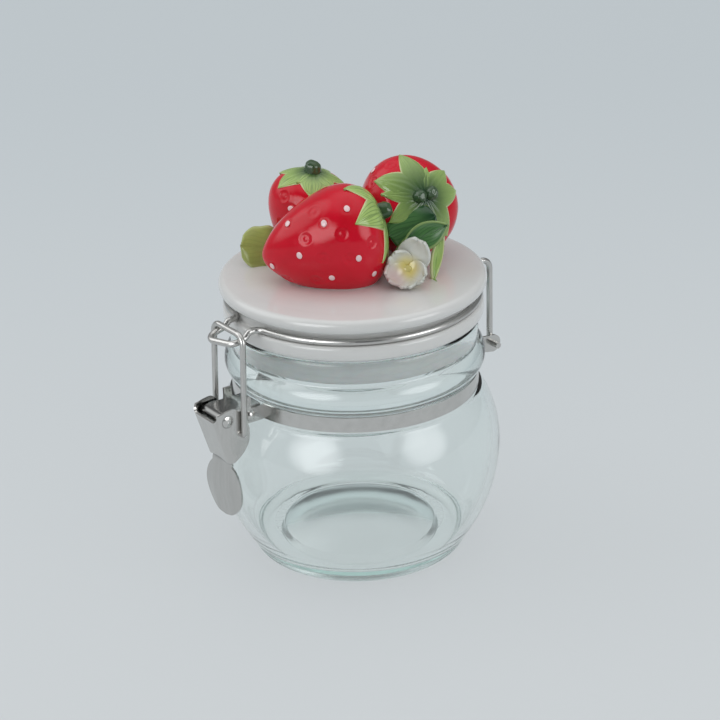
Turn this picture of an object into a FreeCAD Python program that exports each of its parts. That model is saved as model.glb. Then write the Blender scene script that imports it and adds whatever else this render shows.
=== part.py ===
import FreeCAD
import Part

import math
import os
import re

# A round glass storage jar with a clamp lid.
# The axis of the jar is Z and the foot stands on Z = 0.
# The clasp is at -Y and the hinge of the lid at +Y. Lengths are in millimetres.

V = FreeCAD.Vector

SIZES = {
    # glass jar
    "neck_bore": 43.0,
    "neck_wall": 2.8,
    "rim_wall": 3.8,
    "body_radius": 54.8,
    "body_level": 42.0,
    "shoulder_level": 65.6,
    "shoulder_step": 1.4,
    "wall": 3.0,
    "floor_thick": 4.5,
    "foot_ring": 4.5,
    "foot_rise": 2.5,
    "heel_inset": 13.06,
    "heel_height": 4.0,
    "heel_curve": 4.4,
    "groove_height": 6.6,
    "bead_height": 11.8,
    "bead_curve": 8.2,
    "rim_height": 9.4,
    "rim_round": 1.4,
    # seal
    "seal_thick": 0.9,
    "seal_collar": 1.8,
    "seal_depth": 9.2,
    "seal_gap": 0.1,
    # ceramic lid
    "lid_over": 7.0,
    "lid_gap": 0.1,
    "flange_step": 1.2,
    "lower_flange_height": 6.0,
    "wire_groove_depth": 4.1,
    "wire_groove_height": 4.8,
    "top_flange_height": 5.4,
    "flange_round": 1.2,
    "edge_round": 2.6,
    "under_round": 1.9,
    "crown": 0.6,
    "plug_depth": 4.4,
    "plug_gap": 1.1,
    "plug_taper": 4.7,
    # lid wire
    "lid_wire_radius": 1.2,
    "wire_seat": 0.3,
    "wire_slack": 0.2,
    "nose_play": 0.4,
    "nose_past": 4.0,
    "nose_skew": 1.8,
    "nose_knee": 2.8,
    "nose_dip": 1.9,
    "nose_fall": 0.29,
    "nose_round": 3.4,
    "ring_bend": 4.0,
    "leg_half_width": 6.5,
    "leg_bend": 4.0,
    "hook_slack": 0.12,
    # hinge
    "hinge_out": 13.55,
    "hinge_rise": 0.9,
    "hinge_ear_radius": 3.5,
    "hinge_pin_stub": 3.2,
    # neck band
    "strip": 0.9,
    "band_lift": 0.5,
    "band_free": 0.4,
    "band_gap": 0.05,
    "ear_short": 7.6,
    "ear_rise": 4.5,
    "ear_tongue": 3.4,
    "rivet_behind": 10.5,
    "rivet_radius": 1.3,
    "rivet_head": 2.1,
    "rivet_dome": 1.1,
    # clasp
    "pivot_out": 8.0,
    "pivot_rise": 3.8,
    "pivot_radius": 1.25,
    "pin_dome": 0.5,
    "knuckle_wall": 1.2,
    "bore_play": 0.05,
    "side_play": 0.2,
    "lever_half_width": 7.8,
    "lever_plate": 0.9,
    "lever_drop": 17.4,
    "web_out": 5.3,
    "web_top": 0.4,
    "cheek_top": 4.3,
    "cheek_depth": 9.3,
    "tab_half_width": 10.2,
    "tab_length": 24.0,
    "tab_curve": 55.0,
    "link_wire_radius": 1.1,
    "link_play": 0.6,
    "hook_in": 5.8,
    "hook_drop": 6.6,
    "link_behind": 7.2,
    "link_rest": 0.2,
    "link_round": 3.6,
    # fruit on the lid
    "front_berry_radius": 20.0,
    "front_berry_length": 46.0,
    "left_berry_radius": 14.6,
    "left_berry_length": 38.0,
    "right_berry_radius": 18.6,
    "right_berry_length": 38.0,
    "calyx_thick": 1.3,
    "leaf_thick": 1.8,
}


doc = FreeCAD.newDocument("clamp_lid_jar")
sheet = doc.addObject("Spreadsheet::Sheet", "Sizes")
for row, (alias, number) in enumerate(SIZES.items(), start=1):
    sheet.set("A%d" % row, alias)
    sheet.set("B%d" % row, str(number))
    sheet.setAlias("B%d" % row, alias)
doc.recompute()


def formula(text):
    """The text with every size name written as a cell of the sheet."""
    def cell(match):
        word = match.group()
        return "Sizes." + word if word in SIZES else word
    return re.sub(r"[a-z_]+", cell, str(text))


def size(text):
    """The number that a formula of size names gives now."""
    value = sheet.evalExpression(formula(text))
    return float(getattr(value, "Value", value))


def bind(obj, prop, text):
    obj.setExpression(prop, formula(text))


# ---------------------------------------------------------------- levels and reaches

GROOVE_RADIUS = "(neck_bore + neck_wall)"
RIM_RADIUS = "(neck_bore + rim_wall)"
NECK_EDGE = "(%s + shoulder_step)" % GROOVE_RADIUS
SEAL_OUTER = "(neck_bore - seal_gap)"
SEAL_INNER = "(neck_bore - seal_gap - seal_collar)"
LID_RADIUS = "(neck_bore + lid_over)"
LOWER_FLANGE = "(%s - flange_step)" % LID_RADIUS
WIRE_GROOVE = "(%s - wire_groove_depth)" % LID_RADIUS
PLUG_RADIUS = "(%s - plug_gap)" % SEAL_INNER
BAND_LOW = "(shoulder_level + band_lift)"
BAND_HEIGHT = "(groove_height - band_lift - band_free)"
BAND_TOP = "(%s + %s)" % (BAND_LOW, BAND_HEIGHT)
BEAD_LOW = "(shoulder_level + groove_height)"
CREASE = "(shoulder_level + groove_height + bead_height)"
RIM_TOP = "(shoulder_level + groove_height + bead_height + rim_height)"
SEAL_TOP = "(%s + seal_thick)" % RIM_TOP
LID_LOW = "(%s + lid_gap)" % SEAL_TOP
GROOVE_LOW = "(%s + lower_flange_height)" % LID_LOW
GROOVE_TOP = "(%s + wire_groove_height)" % GROOVE_LOW
LID_TOP = "(%s + top_flange_height)" % GROOVE_TOP
BAND_INNER = "(%s + band_gap)" % GROOVE_RADIUS
BAND_OUTER = "(%s + strip)" % BAND_INNER
WIRE_LEVEL = "(%s + lid_wire_radius + wire_seat)" % GROOVE_LOW
WIRE_RING = "(%s + wire_slack + lid_wire_radius)" % WIRE_GROOVE
PIVOT_REACH = "(body_radius + pivot_out)"
PIVOT_LEVEL = "(%s + pivot_rise)" % BAND_LOW
EAR_REACH = "(%s - ear_short)" % PIVOT_REACH
RIVET_REACH = "(%s - rivet_behind)" % PIVOT_REACH
RIVET_LEVEL = "(%s + 0.5 * %s)" % (BAND_LOW, BAND_HEIGHT)
LINK_REACH = "(%s - link_behind)" % PIVOT_REACH
NOSE_REACH = "(%s + nose_past)" % LINK_REACH
HINGE_REACH = "(%s + hinge_out)" % BAND_OUTER
HINGE_LEVEL = "(%s + hinge_rise)" % BAND_LOW
CHEEK_INNER = "(lever_half_width - lever_plate)"
EAR_OUTER = "(lever_half_width - lever_plate - side_play)"
EAR_INNER = "(lever_half_width - lever_plate - side_play - strip)"
PLATE_EDGE = "(lever_half_width - lever_plate - side_play - 2 * strip)"
LINK_HALF = "(lever_half_width + link_play + link_wire_radius)"
NOSE_HALF = "(%s - link_wire_radius - nose_play - lid_wire_radius)" % LINK_HALF
HINGE_EAR_INNER = "(leg_half_width + lid_wire_radius + side_play)"
HINGE_EAR_OUTER = "(leg_half_width + lid_wire_radius + side_play + strip)"
KNUCKLE = "(pivot_radius + bore_play + knuckle_wall)"


# ---------------------------------------------------------------- drawing helpers

TURNED = FreeCAD.Rotation(V(1, 0, 0), V(0, 0, 1), V(0, -1, 0), "ZXY")   # sketch x, y along X, Z
SIDE = FreeCAD.Rotation(V(0, 1, 0), V(0, 0, 1), V(1, 0, 0), "ZXY")      # sketch x, y along Y, Z
FRONT = TURNED


def arc_through(a, b, radius, left):
    """The arc from a to b whose bulge is on the left or the right of the way from a to b."""
    chord = b.sub(a)
    half = chord.Length / 2
    sag = radius - math.sqrt(max(radius * radius - half * half, 0.0))
    across = V(-chord.y, chord.x, 0).normalize()
    if not left:
        across = across.negative()
    middle = a.add(b).multiply(0.5).add(across.multiply(sag))
    return Part.ArcOfCircle(b, middle, a) if left else Part.ArcOfCircle(a, middle, b)


def outline(name, rotation, corners):
    """A closed sketch. A corner is (x, y) or (x, y, radius, side): an arc then leads to the next."""
    sketch = doc.addObject("Sketcher::SketchObject", name)
    sketch.Placement = FreeCAD.Placement(V(0, 0, 0), rotation)
    places = [V(size(c[0]), size(c[1]), 0) for c in corners]
    count = len(corners)
    starts = []
    for i, corner in enumerate(corners):
        a = places[i]
        b = places[(i + 1) % count]
        if len(corner) == 2:
            sketch.addGeometry(Part.LineSegment(a, b), False)
            starts.append((i, 1, 2))
        else:
            arc = arc_through(a, b, size(corner[2]), corner[3] == "left")
            sketch.addGeometry(arc, False)
            turned = sketch.Geometry[i].StartPoint.distanceToPoint(a) > 1e-6
            starts.append((i, 2, 1) if turned else (i, 1, 2))
    pin_down(sketch, corners, starts)
    return sketch


def pin_down(sketch, corners, starts):
    """Join the edges of a closed sketch and bind every corner and radius to the sheet."""
    import Sketcher
    count = len(corners)
    for i in range(count):
        this_edge = starts[i]
        next_edge = starts[(i + 1) % count]
        ends = (this_edge[0], this_edge[2], next_edge[0], next_edge[1])
        sketch.addConstraint(Sketcher.Constraint("Coincident", *ends))
    for i, corner in enumerate(corners):
        edge, start = starts[i][0], starts[i][1]
        for kind, text in (("DistanceX", corner[0]), ("DistanceY", corner[1])):
            value = size(text)
            index = sketch.addConstraint(Sketcher.Constraint(kind, -1, 1, edge, start, value))
            if str(text) not in ("0", "0.0"):
                sketch.setExpression("Constraints[%d]" % index, formula(text))
        if len(corner) == 4:
            index = sketch.addConstraint(Sketcher.Constraint("Radius", edge, size(corner[2])))
            sketch.setExpression("Constraints[%d]" % index, formula(corner[2]))


def revolved(name, corners):
    """A solid turned about the axis of the jar."""
    obj = doc.addObject("Part::Revolution", name)
    obj.Source = outline(name + "_profile", TURNED, corners)
    obj.Axis = V(0, 0, 1)
    obj.Base = V(0, 0, 0)
    obj.Angle = 360
    obj.Solid = True
    return obj


def plate(name, rotation, corners, half_width):
    """A sketch pulled both ways from its plane by the half width."""
    obj = doc.addObject("Part::Extrusion", name)
    obj.Base = outline(name + "_outline", rotation, corners)
    obj.DirMode = "Normal"
    obj.Solid = True
    obj.Symmetric = True
    bind(obj, "LengthFwd", "2 * (%s)" % half_width)
    return obj


def block(name, low, high):
    """A box between two corners given as formulas."""
    obj = doc.addObject("Part::Box", name)
    for prop, a, b in zip(("Length", "Width", "Height"), low, high):
        bind(obj, prop, "(%s) - (%s)" % (b, a))
    for axis, a in zip("xyz", low):
        bind(obj, "Placement.Base." + axis, a)
    return obj


def both_sides(name, low, high):
    """Two equal boxes, one on each side of the middle plane; low and high give the right one."""
    right = block(name + "_right", low, high)
    mirror_low = ("-(%s)" % high[0], low[1], low[2])
    mirror_high = ("-(%s)" % low[0], high[1], high[2])
    left = block(name + "_left", mirror_low, mirror_high)
    return [right, left]


def rod(name, radius, half_length, y, z):
    """A round bar along X, centred on the middle plane."""
    obj = doc.addObject("Part::Cylinder", name)
    bind(obj, "Radius", radius)
    bind(obj, "Height", "2 * (%s)" % half_length)
    obj.Placement.Rotation = FreeCAD.Rotation(V(0, 1, 0), 90)
    bind(obj, "Placement.Base.x", "-(%s)" % half_length)
    bind(obj, "Placement.Base.y", y)
    bind(obj, "Placement.Base.z", z)
    return obj


def tube(name, radius, low, high):
    """An upright cylinder on the axis of the jar."""
    obj = doc.addObject("Part::Cylinder", name)
    bind(obj, "Radius", radius)
    bind(obj, "Height", "(%s) - (%s)" % (high, low))
    bind(obj, "Placement.Base.z", low)
    return obj


def joined(name, pieces):
    obj = doc.addObject("Part::MultiFuse", name)
    obj.Shapes = pieces
    return obj


def less(name, base, tool):
    obj = doc.addObject("Part::Cut", name)
    obj.Base = base
    obj.Tool = tool
    return obj


def shared(name, one, other):
    obj = doc.addObject("Part::Common", name)
    obj.Base = one
    obj.Tool = other
    return obj


def solid_feature(name, shape):
    obj = doc.addObject("Part::Feature", name)
    obj.Shape = shape
    return obj


# ---------------------------------------------------------------- bent wire

def bent(points, radii):
    """Edges of a path of straight runs with a tangent arc at every inner point."""
    edges = []
    here = points[0]
    for i in range(1, len(points) - 1):
        back = points[i - 1].sub(points[i]).normalize()
        ahead = points[i + 1].sub(points[i]).normalize()
        turn = math.pi - back.getAngle(ahead)
        reach = radii[i - 1] * math.tan(turn / 2)
        start = points[i].add(V(back).multiply(reach))
        end = points[i].add(V(ahead).multiply(reach))
        inward = back.add(ahead).normalize()
        depth = radii[i - 1] / math.cos(turn / 2) - radii[i - 1]
        middle = points[i].add(V(inward).multiply(depth))
        if here.distanceToPoint(start) > 1e-6:
            edges.append(Part.LineSegment(here, start).toShape())
        edges.append(Part.Arc(start, middle, end).toShape())
        here = end
    edges.append(Part.LineSegment(here, points[-1]).toShape())
    return edges


def wire_solid(edges, radius):
    """A round wire along connected edges."""
    path = Part.Wire(Part.__sortEdges__(edges))
    start = path.OrderedVertexes[0].Point
    first = path.OrderedEdges[0]
    at = first.FirstParameter
    if first.valueAt(at).distanceToPoint(start) > 1e-6:
        at = first.LastParameter
    along = first.tangentAt(at)
    ring = Part.Wire(Part.makeCircle(radius, start, along))
    return path.makePipeShell([ring], True, False)


def mirrored(edges):
    return [edge.mirror(V(0, 0, 0), V(1, 0, 0)) for edge in edges]


def leaving_ring(ring, bend, across, sign):
    """Where a wire leaves its ring for a straight arm at x = across, towards sign * Y."""
    centre_y = sign * math.sqrt((ring + bend) ** 2 - (across + bend) ** 2)
    centre = V(across + bend, centre_y, 0)
    on_ring = V(centre).multiply(ring / (ring + bend))
    on_arm = V(across, centre_y, 0)
    towards = on_ring.add(on_arm).multiply(0.5).sub(centre).normalize()
    middle = centre.add(towards.multiply(bend))
    return on_ring, middle, on_arm


def lid_wire():
    """The wire of the lid: ring, nose at the clasp, two legs down to the hinge."""
    ring = size(WIRE_RING)
    level = size(WIRE_LEVEL)
    bend = size("ring_bend")
    up = V(0, 0, level)
    front_on, front_mid, front_arm = leaving_ring(ring, bend, size(NOSE_HALF), -1)
    back_on, back_mid, back_arm = leaving_ring(ring, bend, size("leg_half_width"), 1)
    side = V(ring, 0, 0)
    half = [
        Part.Arc(front_arm.add(up), front_mid.add(up), front_on.add(up)).toShape(),
        Part.Arc(front_on.add(up), side.add(up), back_on.add(up)).toShape(),
        Part.Arc(back_on.add(up), back_mid.add(up), back_arm.add(up)).toShape(),
    ]
    leg_x = size("leg_half_width")
    leg_y = size(HINGE_REACH)
    foot = size(HINGE_LEVEL)
    stub = size(HINGE_EAR_OUTER) + size("hinge_pin_stub")
    leg = [
        back_arm.add(up),
        V(leg_x, leg_y, level),
        V(leg_x, leg_y, foot),
        V(stub, leg_y, foot),
    ]
    half += bent(leg, [size("leg_bend"), size("lid_wire_radius + hook_slack")])
    edges = half + mirrored(half) + nose(front_arm.x, front_arm.y)
    return wire_solid(edges, size("lid_wire_radius"))


def nose_arm(start_y, end_y):
    """The heights of one nose arm: level, down the knee, then a gentle fall to end_y."""
    level = size(WIRE_LEVEL)
    knee_y = start_y - size("nose_knee")
    knee_z = level - size("nose_dip")
    end_z = knee_z - size("nose_fall") * (knee_y - end_y)
    return knee_y, knee_z, end_z


def nose(across, start_y):
    """The loop that the clamp link holds down, a little askew as such a wire is bent."""
    level = size(WIRE_LEVEL)
    points = []
    for side in (1, -1):
        end_y = -size(NOSE_REACH) + side * size("nose_skew")
        knee_y, knee_z, end_z = nose_arm(start_y, end_y)
        arm = [
            V(side * across, start_y, level),
            V(side * across, start_y - 0.7, level),
            V(side * across, knee_y, knee_z),
            V(side * across, end_y, end_z),
        ]
        points += arm if side == 1 else arm[::-1]
    round_nose = size("nose_round")
    return bent(points, [1.6, 2.2, round_nose, round_nose, 2.2, 1.6])


def arm_level(y):
    """Height of the nose arms' centre line at a distance y in front of the axis."""
    across = size(NOSE_HALF)
    start_y = leaving_ring(size(WIRE_RING), size("ring_bend"), across, -1)[2].y
    return nose_arm(start_y, -y)[2]


def link_wire():
    """The clamp link: a bar over the nose, two legs, two hooks into the lever."""
    radius = size("link_wire_radius")
    level = arm_level(size(LINK_REACH))
    stack = radius + size("lid_wire_radius") + size("link_rest")
    corner = size("link_round")
    past = max(size(NOSE_HALF) - size(LINK_HALF) + corner, 0.0)
    sag = corner - math.sqrt(corner * corner - past * past)
    lean = math.asin(past / corner)
    top = level + sag + stack / math.cos(lean) * math.sqrt(1 + size("nose_fall") ** 2)
    hook_y = -size(PIVOT_REACH) + size("hook_in")
    hook_z = size(PIVOT_LEVEL) - size("hook_drop")
    bar_y = -size(LINK_REACH)
    across = size(LINK_HALF)
    inside = size(CHEEK_INNER) - 1.4
    points = [
        V(inside, hook_y, hook_z),
        V(across, hook_y, hook_z),
        V(across, bar_y, top),
        V(-across, bar_y, top),
        V(-across, hook_y, hook_z),
        V(-inside, hook_y, hook_z),
    ]
    small = radius + size("hook_slack")
    large = size("link_round")
    return wire_solid(bent(points, [small, large, large, small]), radius)


# ---------------------------------------------------------------- glass and seal

def flat_arc(inset, rise):
    """The radius of an arc that is upright at one end and comes in by inset over rise."""
    return "(((%s) ^ 2 + (%s) ^ 2) / (2 * (%s)))" % (inset, rise, inset)


def glass_jar():
    lower = flat_arc("heel_inset", "body_level - heel_height")
    upper = flat_arc("body_radius - %s" % NECK_EDGE, "shoulder_level - body_level")
    lower_middle = "(body_radius - %s)" % lower
    upper_middle = "(body_radius - %s)" % upper
    floor = "(foot_rise + floor_thick)"
    heel_x = "(body_radius - heel_inset)"
    foot_x = "(%s - sqrt(heel_curve ^ 2 - (heel_curve - heel_height) ^ 2))" % heel_x
    inner_lower = "(%s - wall)" % lower
    inner_upper = "(%s - wall)" % upper
    inner_heel = "(%s + wall)" % floor
    inner_x = "(%s + sqrt(%s ^ 2 - (body_level - %s) ^ 2))" % (lower_middle, inner_lower, inner_heel)
    bore_z = "(body_level + sqrt(%s ^ 2 - (neck_bore - %s) ^ 2))" % (inner_upper, upper_middle)
    corners = [
        ("0", "foot_rise"),
        ("%s - foot_ring - foot_rise" % foot_x, "foot_rise"),
        ("%s - foot_ring" % foot_x, "0"),
        (foot_x, "0", "heel_curve", "right"),
        (heel_x, "heel_height", lower, "right"),
        ("body_radius", "body_level", upper, "right"),
        (NECK_EDGE, "shoulder_level"),
        (GROOVE_RADIUS, "shoulder_level + 0.4"),
        (GROOVE_RADIUS, BEAD_LOW, "bead_curve", "right"),
        ("%s + 0.4" % GROOVE_RADIUS, CREASE),
        (RIM_RADIUS, "%s - rim_round" % RIM_TOP, "rim_round", "right"),
        ("%s - rim_round" % RIM_RADIUS, RIM_TOP),
        ("neck_bore + rim_round", RIM_TOP, "rim_round", "right"),
        ("neck_bore", "%s - rim_round" % RIM_TOP),
        ("neck_bore", bore_z, inner_upper, "left"),
        ("body_radius - wall", "body_level", inner_lower, "left"),
        (inner_x, inner_heel, "wall + 1.6", "left"),
        ("%s - wall - 0.8" % inner_x, floor),
        ("0", floor),
    ]
    return revolved("glass_jar", corners)


def seal_ring():
    low = "(%s - seal_depth)" % RIM_TOP
    edge = "(%s - 0.5 * rim_round)" % RIM_RADIUS
    corners = [
        (SEAL_INNER, low),
        (SEAL_OUTER, low),
        (SEAL_OUTER, RIM_TOP),
        (edge, RIM_TOP),
        (edge, SEAL_TOP),
        (SEAL_INNER, SEAL_TOP),
    ]
    return revolved("seal_ring", corners)


# ---------------------------------------------------------------- neck band and hinge bracket

def neck_band():
    """A strip round the neck whose two ends turn out as ears at the clasp."""
    disc = tube("band_disc", BAND_OUTER, BAND_LOW, BAND_TOP)
    hoop = less("band_hoop", disc, tube("band_hole", BAND_INNER, BAND_LOW, BAND_TOP))
    gap_low = ("-(%s)" % EAR_INNER, "-(%s) - 1" % BAND_OUTER, BAND_LOW)
    gap_high = (EAR_INNER, "-0.8 * %s" % GROOVE_RADIUS, BAND_TOP)
    split = less("band_split", hoop, block("band_gap_block", gap_low, gap_high))
    root = "-sqrt(%s ^ 2 - %s ^ 2)" % (BAND_INNER, EAR_INNER)
    reach = "-" + EAR_REACH
    ears = both_sides("band_ear", (EAR_INNER, reach, BAND_LOW), (EAR_OUTER, root, BAND_TOP))
    tongue_high = (EAR_OUTER, "ear_tongue - %s" % EAR_REACH, "%s + ear_rise" % BAND_TOP)
    tongues = both_sides("band_tongue", (EAR_INNER, reach, BAND_TOP), tongue_high)
    whole = joined("band_whole", [split] + ears + tongues)
    bore = rod("band_rivet_bore", "rivet_radius", "lever_half_width", "-" + RIVET_REACH, RIVET_LEVEL)
    return less("neck_band", whole, bore)


def hinge_bracket():
    """A clip on the back of the band with one ear on each side of the lid wire."""
    disc = tube("clip_disc", "%s + strip" % BAND_OUTER, BAND_LOW, BAND_TOP)
    shell = less("clip_hoop", disc, tube("clip_hole", BAND_OUTER, BAND_LOW, BAND_TOP))
    low = ("-(%s)" % HINGE_EAR_OUTER, "0", BAND_LOW)
    high = (HINGE_EAR_OUTER, "%s + 2" % BAND_OUTER, BAND_TOP)
    clip = shared("clip_strip", shell, block("clip_window", low, high))
    root = "sqrt((%s) ^ 2 - (%s) ^ 2)" % (BAND_OUTER, HINGE_EAR_OUTER)
    ear = [
        (root, BAND_LOW),
        (HINGE_REACH, "%s - hinge_ear_radius" % HINGE_LEVEL, "hinge_ear_radius", "right"),
        ("%s + hinge_ear_radius" % HINGE_REACH, HINGE_LEVEL, "hinge_ear_radius", "right"),
        (HINGE_REACH, "%s + hinge_ear_radius" % HINGE_LEVEL),
        (root, BAND_TOP),
    ]
    slab = plate("ear_slab", SIDE, ear, HINGE_EAR_OUTER)
    around = "2 * hinge_ear_radius + %s" % BAND_HEIGHT
    gap_low = ("-(%s)" % HINGE_EAR_INNER, "0", "%s - (%s)" % (HINGE_LEVEL, around))
    gap_high = (HINGE_EAR_INNER, "%s + 2 * hinge_ear_radius" % HINGE_REACH, "%s + %s" % (HINGE_LEVEL, around))
    apart = less("hinge_ear_pair", slab, block("ear_gap", gap_low, gap_high))
    ears = less("hinge_ears", apart, tube("ear_root_disc", BAND_OUTER, "0", "2 * shoulder_level"))
    whole = joined("bracket_whole", [clip, ears])
    hole = "lid_wire_radius + bore_play"
    bore = rod("hinge_bore", hole, "2 * %s" % HINGE_EAR_OUTER, HINGE_REACH, HINGE_LEVEL)
    return less("hinge_bracket", whole, bore)


# ---------------------------------------------------------------- clasp

def pivot_bracket():
    """The clasp's fixed arm: riveted between the band ears, rolled round the pivot pin."""
    y = "-" + PIVOT_REACH
    z = PIVOT_LEVEL
    top = "(%s + %s)" % (PIVOT_LEVEL, KNUCKLE)
    arm_low = ("-(%s)" % EAR_INNER, y, "%s - strip" % top)
    arm_high = (EAR_INNER, "-(%s) - 0.6" % BAND_OUTER, top)
    arm = block("bracket_arm", arm_low, arm_high)
    side_low = (PLATE_EDGE, "-" + EAR_REACH, BAND_LOW)
    side_high = (EAR_INNER, "-(%s) - 0.6" % BAND_OUTER, "%s - strip" % top)
    sides = both_sides("bracket_side", side_low, side_high)
    knuckle = rod("bracket_knuckle", KNUCKLE, EAR_INNER, y, z)
    whole = joined("bracket_body", [arm, knuckle] + sides)
    bore = rod("pivot_bore", "pivot_radius + bore_play", "lever_half_width", y, z)
    drilled = less("bracket_drilled", whole, bore)
    rivet = rod("bracket_rivet_bore", "rivet_radius", "lever_half_width", "-" + RIVET_REACH, RIVET_LEVEL)
    return less("pivot_bracket", drilled, rivet)


def rivet(name, radius, dome, half_length, y, z):
    """A pin along X with a domed head on each end."""
    shank = size(half_length)
    high = size(dome)
    wide = size("rivet_head")
    ball = (wide * wide + high * high) / (2 * high)
    half_turn = 0.5 * math.asin(wide / ball)
    centre = shank + high - ball
    halfway = V(centre + ball * math.cos(half_turn), ball * math.sin(half_turn), 0)
    rim = V(shank, wide, 0)
    top = V(shank + high, 0, 0)
    corners = [top, V(0, 0, 0), V(0, size(radius), 0), V(shank, size(radius), 0), rim]
    side = [Part.LineSegment(a, b).toShape() for a, b in zip(corners, corners[1:])]
    side.append(Part.Arc(rim, halfway, top).toShape())
    half = Part.Face(Part.Wire(side)).revolve(V(0, 0, 0), V(1, 0, 0), 360)
    whole = half.fuse(half.mirror(V(0, 0, 0), V(1, 0, 0))).removeSplitter()
    obj = solid_feature(name, whole)
    bind(obj, "Placement.Base.y", y)
    bind(obj, "Placement.Base.z", z)
    return obj


def lever():
    """The lever: a folded channel with two cheeks and an oval thumb tab."""
    y = "(-%s)" % PIVOT_REACH
    z = PIVOT_LEVEL
    lean = "(0.31 * (web_top + lever_drop))"
    channel = [
        ("%s - web_out" % y, "%s + web_top" % z),
        ("%s - web_out + %s" % (y, lean), "%s - lever_drop" % z),
        ("%s + 0.17 * cheek_depth" % y, "%s - lever_drop + 0.2" % z, "1.35 * cheek_depth", "right"),
        ("%s + cheek_depth" % y, "%s - 0.5 * lever_drop" % z),
        ("%s + cheek_depth" % y, "%s - 0.3 * lever_drop" % z, "1.6 * cheek_depth", "right"),
        ("%s + 0.84 * cheek_depth" % y, "%s - 0.05 * lever_drop" % z),
        ("%s + 0.38 * cheek_depth" % y, "%s + cheek_top" % z),
        ("%s - 0.3 * cheek_depth" % y, "%s + 0.86 * cheek_top" % z),
    ]
    block_solid = plate("channel_block", SIDE, channel, "lever_half_width")
    web_y = "(%s - web_out + 0.955 * lever_plate)" % y
    above = "(%s + web_top + 0.296 * lever_plate + cheek_top)" % z
    below = "(%s - lever_drop + 0.296 * lever_plate - cheek_top)" % z
    inner = [
        ("%s - 0.31 * cheek_top" % web_y, above),
        ("%s + %s + 0.31 * cheek_top" % (web_y, lean), below),
        ("%s + 2 * cheek_depth" % y, below),
        ("%s + 2 * cheek_depth" % y, above),
    ]
    hollow = plate("channel_hollow", SIDE, inner, CHEEK_INNER)
    channel_solid = less("channel", block_solid, hollow)
    whole = joined("lever_whole", [channel_solid, thumb_tab(y, z, lean)])
    pivot = rod("lever_pivot_bore", "pivot_radius", "2 * lever_half_width", y, z)
    hook_y = "%s + hook_in" % y
    hook_z = "%s - hook_drop" % z
    hooks = rod("lever_hook_bore", "link_wire_radius + bore_play", "2 * lever_half_width", hook_y, hook_z)
    drilled = less("lever_drilled", whole, pivot)
    return less("lever", drilled, hooks)


def thumb_tab(y, z, lean):
    """The oval tab below the channel: a gently bent plate cut to an oval with a neck."""
    top_y = "(%s - web_out + %s)" % (y, lean)
    top_z = "(%s - lever_drop)" % z
    low_y = "(%s + 0.1 * tab_length)" % top_y
    low_z = "(%s - tab_length)" % top_z
    bent_plate = [
        ("%s - 0.31 * 2.5" % top_y, "%s + 2.5" % top_z),
        (top_y, top_z, "tab_curve", "right"),
        (low_y, low_z),
        ("%s + lever_plate" % low_y, low_z, "tab_curve", "left"),
        ("%s + 0.955 * lever_plate" % top_y, "%s + 0.296 * lever_plate" % top_z),
        ("%s - 0.31 * 2.5 + 0.955 * lever_plate" % top_y, "%s + 2.5 + 0.296 * lever_plate" % top_z),
    ]
    strip = plate("tab_strip", SIDE, bent_plate, "tab_half_width")
    mid_z = "(%s - 0.5 * tab_length)" % top_z
    neck = "0.58 * tab_half_width"
    oval = [
        ("-%s" % neck, "%s + 3.5" % top_z),
        ("-%s" % neck, "%s - 0.06 * tab_length" % top_z, "0.48 * tab_length", "left"),
        ("-tab_half_width", "%s + 0.06 * tab_length" % mid_z, "0.62 * tab_length", "left"),
        ("-0.45 * tab_half_width", "%s + 0.06 * tab_length" % low_z, "0.62 * tab_half_width", "left"),
        ("0.45 * tab_half_width", "%s + 0.06 * tab_length" % low_z, "0.62 * tab_length", "left"),
        ("tab_half_width", "%s + 0.06 * tab_length" % mid_z, "0.48 * tab_length", "left"),
        (neck, "%s - 0.06 * tab_length" % top_z),
        (neck, "%s + 3.5" % top_z),
    ]
    oval = [tuple(corner[:3]) + ("right",) if len(corner) == 4 else corner for corner in oval]
    cutter = plate("tab_oval", FRONT, oval, "2 * %s" % PIVOT_REACH)
    return shared("tab", strip, cutter)


# ---------------------------------------------------------------- lid with its fruit

VIEW = math.radians(54.5)


def on_lid(right, away, up):
    """A place above the lid: right and away are seen from the lid's show side."""
    x = right * math.cos(VIEW) - away * math.sin(VIEW)
    y = right * math.sin(VIEW) + away * math.cos(VIEW)
    return V(x, y, size(LID_TOP) + up)


def berry_curve(radius, length, swell):
    """Half outline of a berry from its tip at 0 to its crown, grown by swell."""
    places = [
        (0.0, 0.0),
        (0.045, 0.25),
        (0.18, 0.56),
        (0.38, 0.83),
        (0.62, 1.0),
        (0.81, 0.95),
        (0.94, 0.66),
        (1.0, 0.0),
    ]
    points = [V(radius * r + (swell if r else 0), 0, length * s) for s, r in places]
    points[0].z -= swell
    points[-1].z += swell
    curve = Part.BSplineCurve()
    curve.interpolate(Points=points, InitialTangent=V(1, 0, 0), FinalTangent=V(-1, 0, 0))
    return curve, points[0], points[-1]


def berry_solid(radius, length, swell=0.0):
    curve, first, last = berry_curve(radius, length, swell)
    face = Part.Face(Part.Wire([curve.toShape(), Part.LineSegment(last, first).toShape()]))
    return face.revolve(V(0, 0, 0), V(0, 0, 1), 360)


def star_prism(radius, tips, depth, low, high):
    """A star with pointed tips, upright along Z."""
    points = []
    for i in range(2 * tips):
        reach = radius if i % 2 == 0 else radius * depth
        angle = math.pi * i / tips
        points.append(V(reach * math.cos(angle), reach * math.sin(angle), low))
    face = Part.Face(Part.makePolygon(points + [points[0]]))
    return face.extrude(V(0, 0, high - low))


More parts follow.
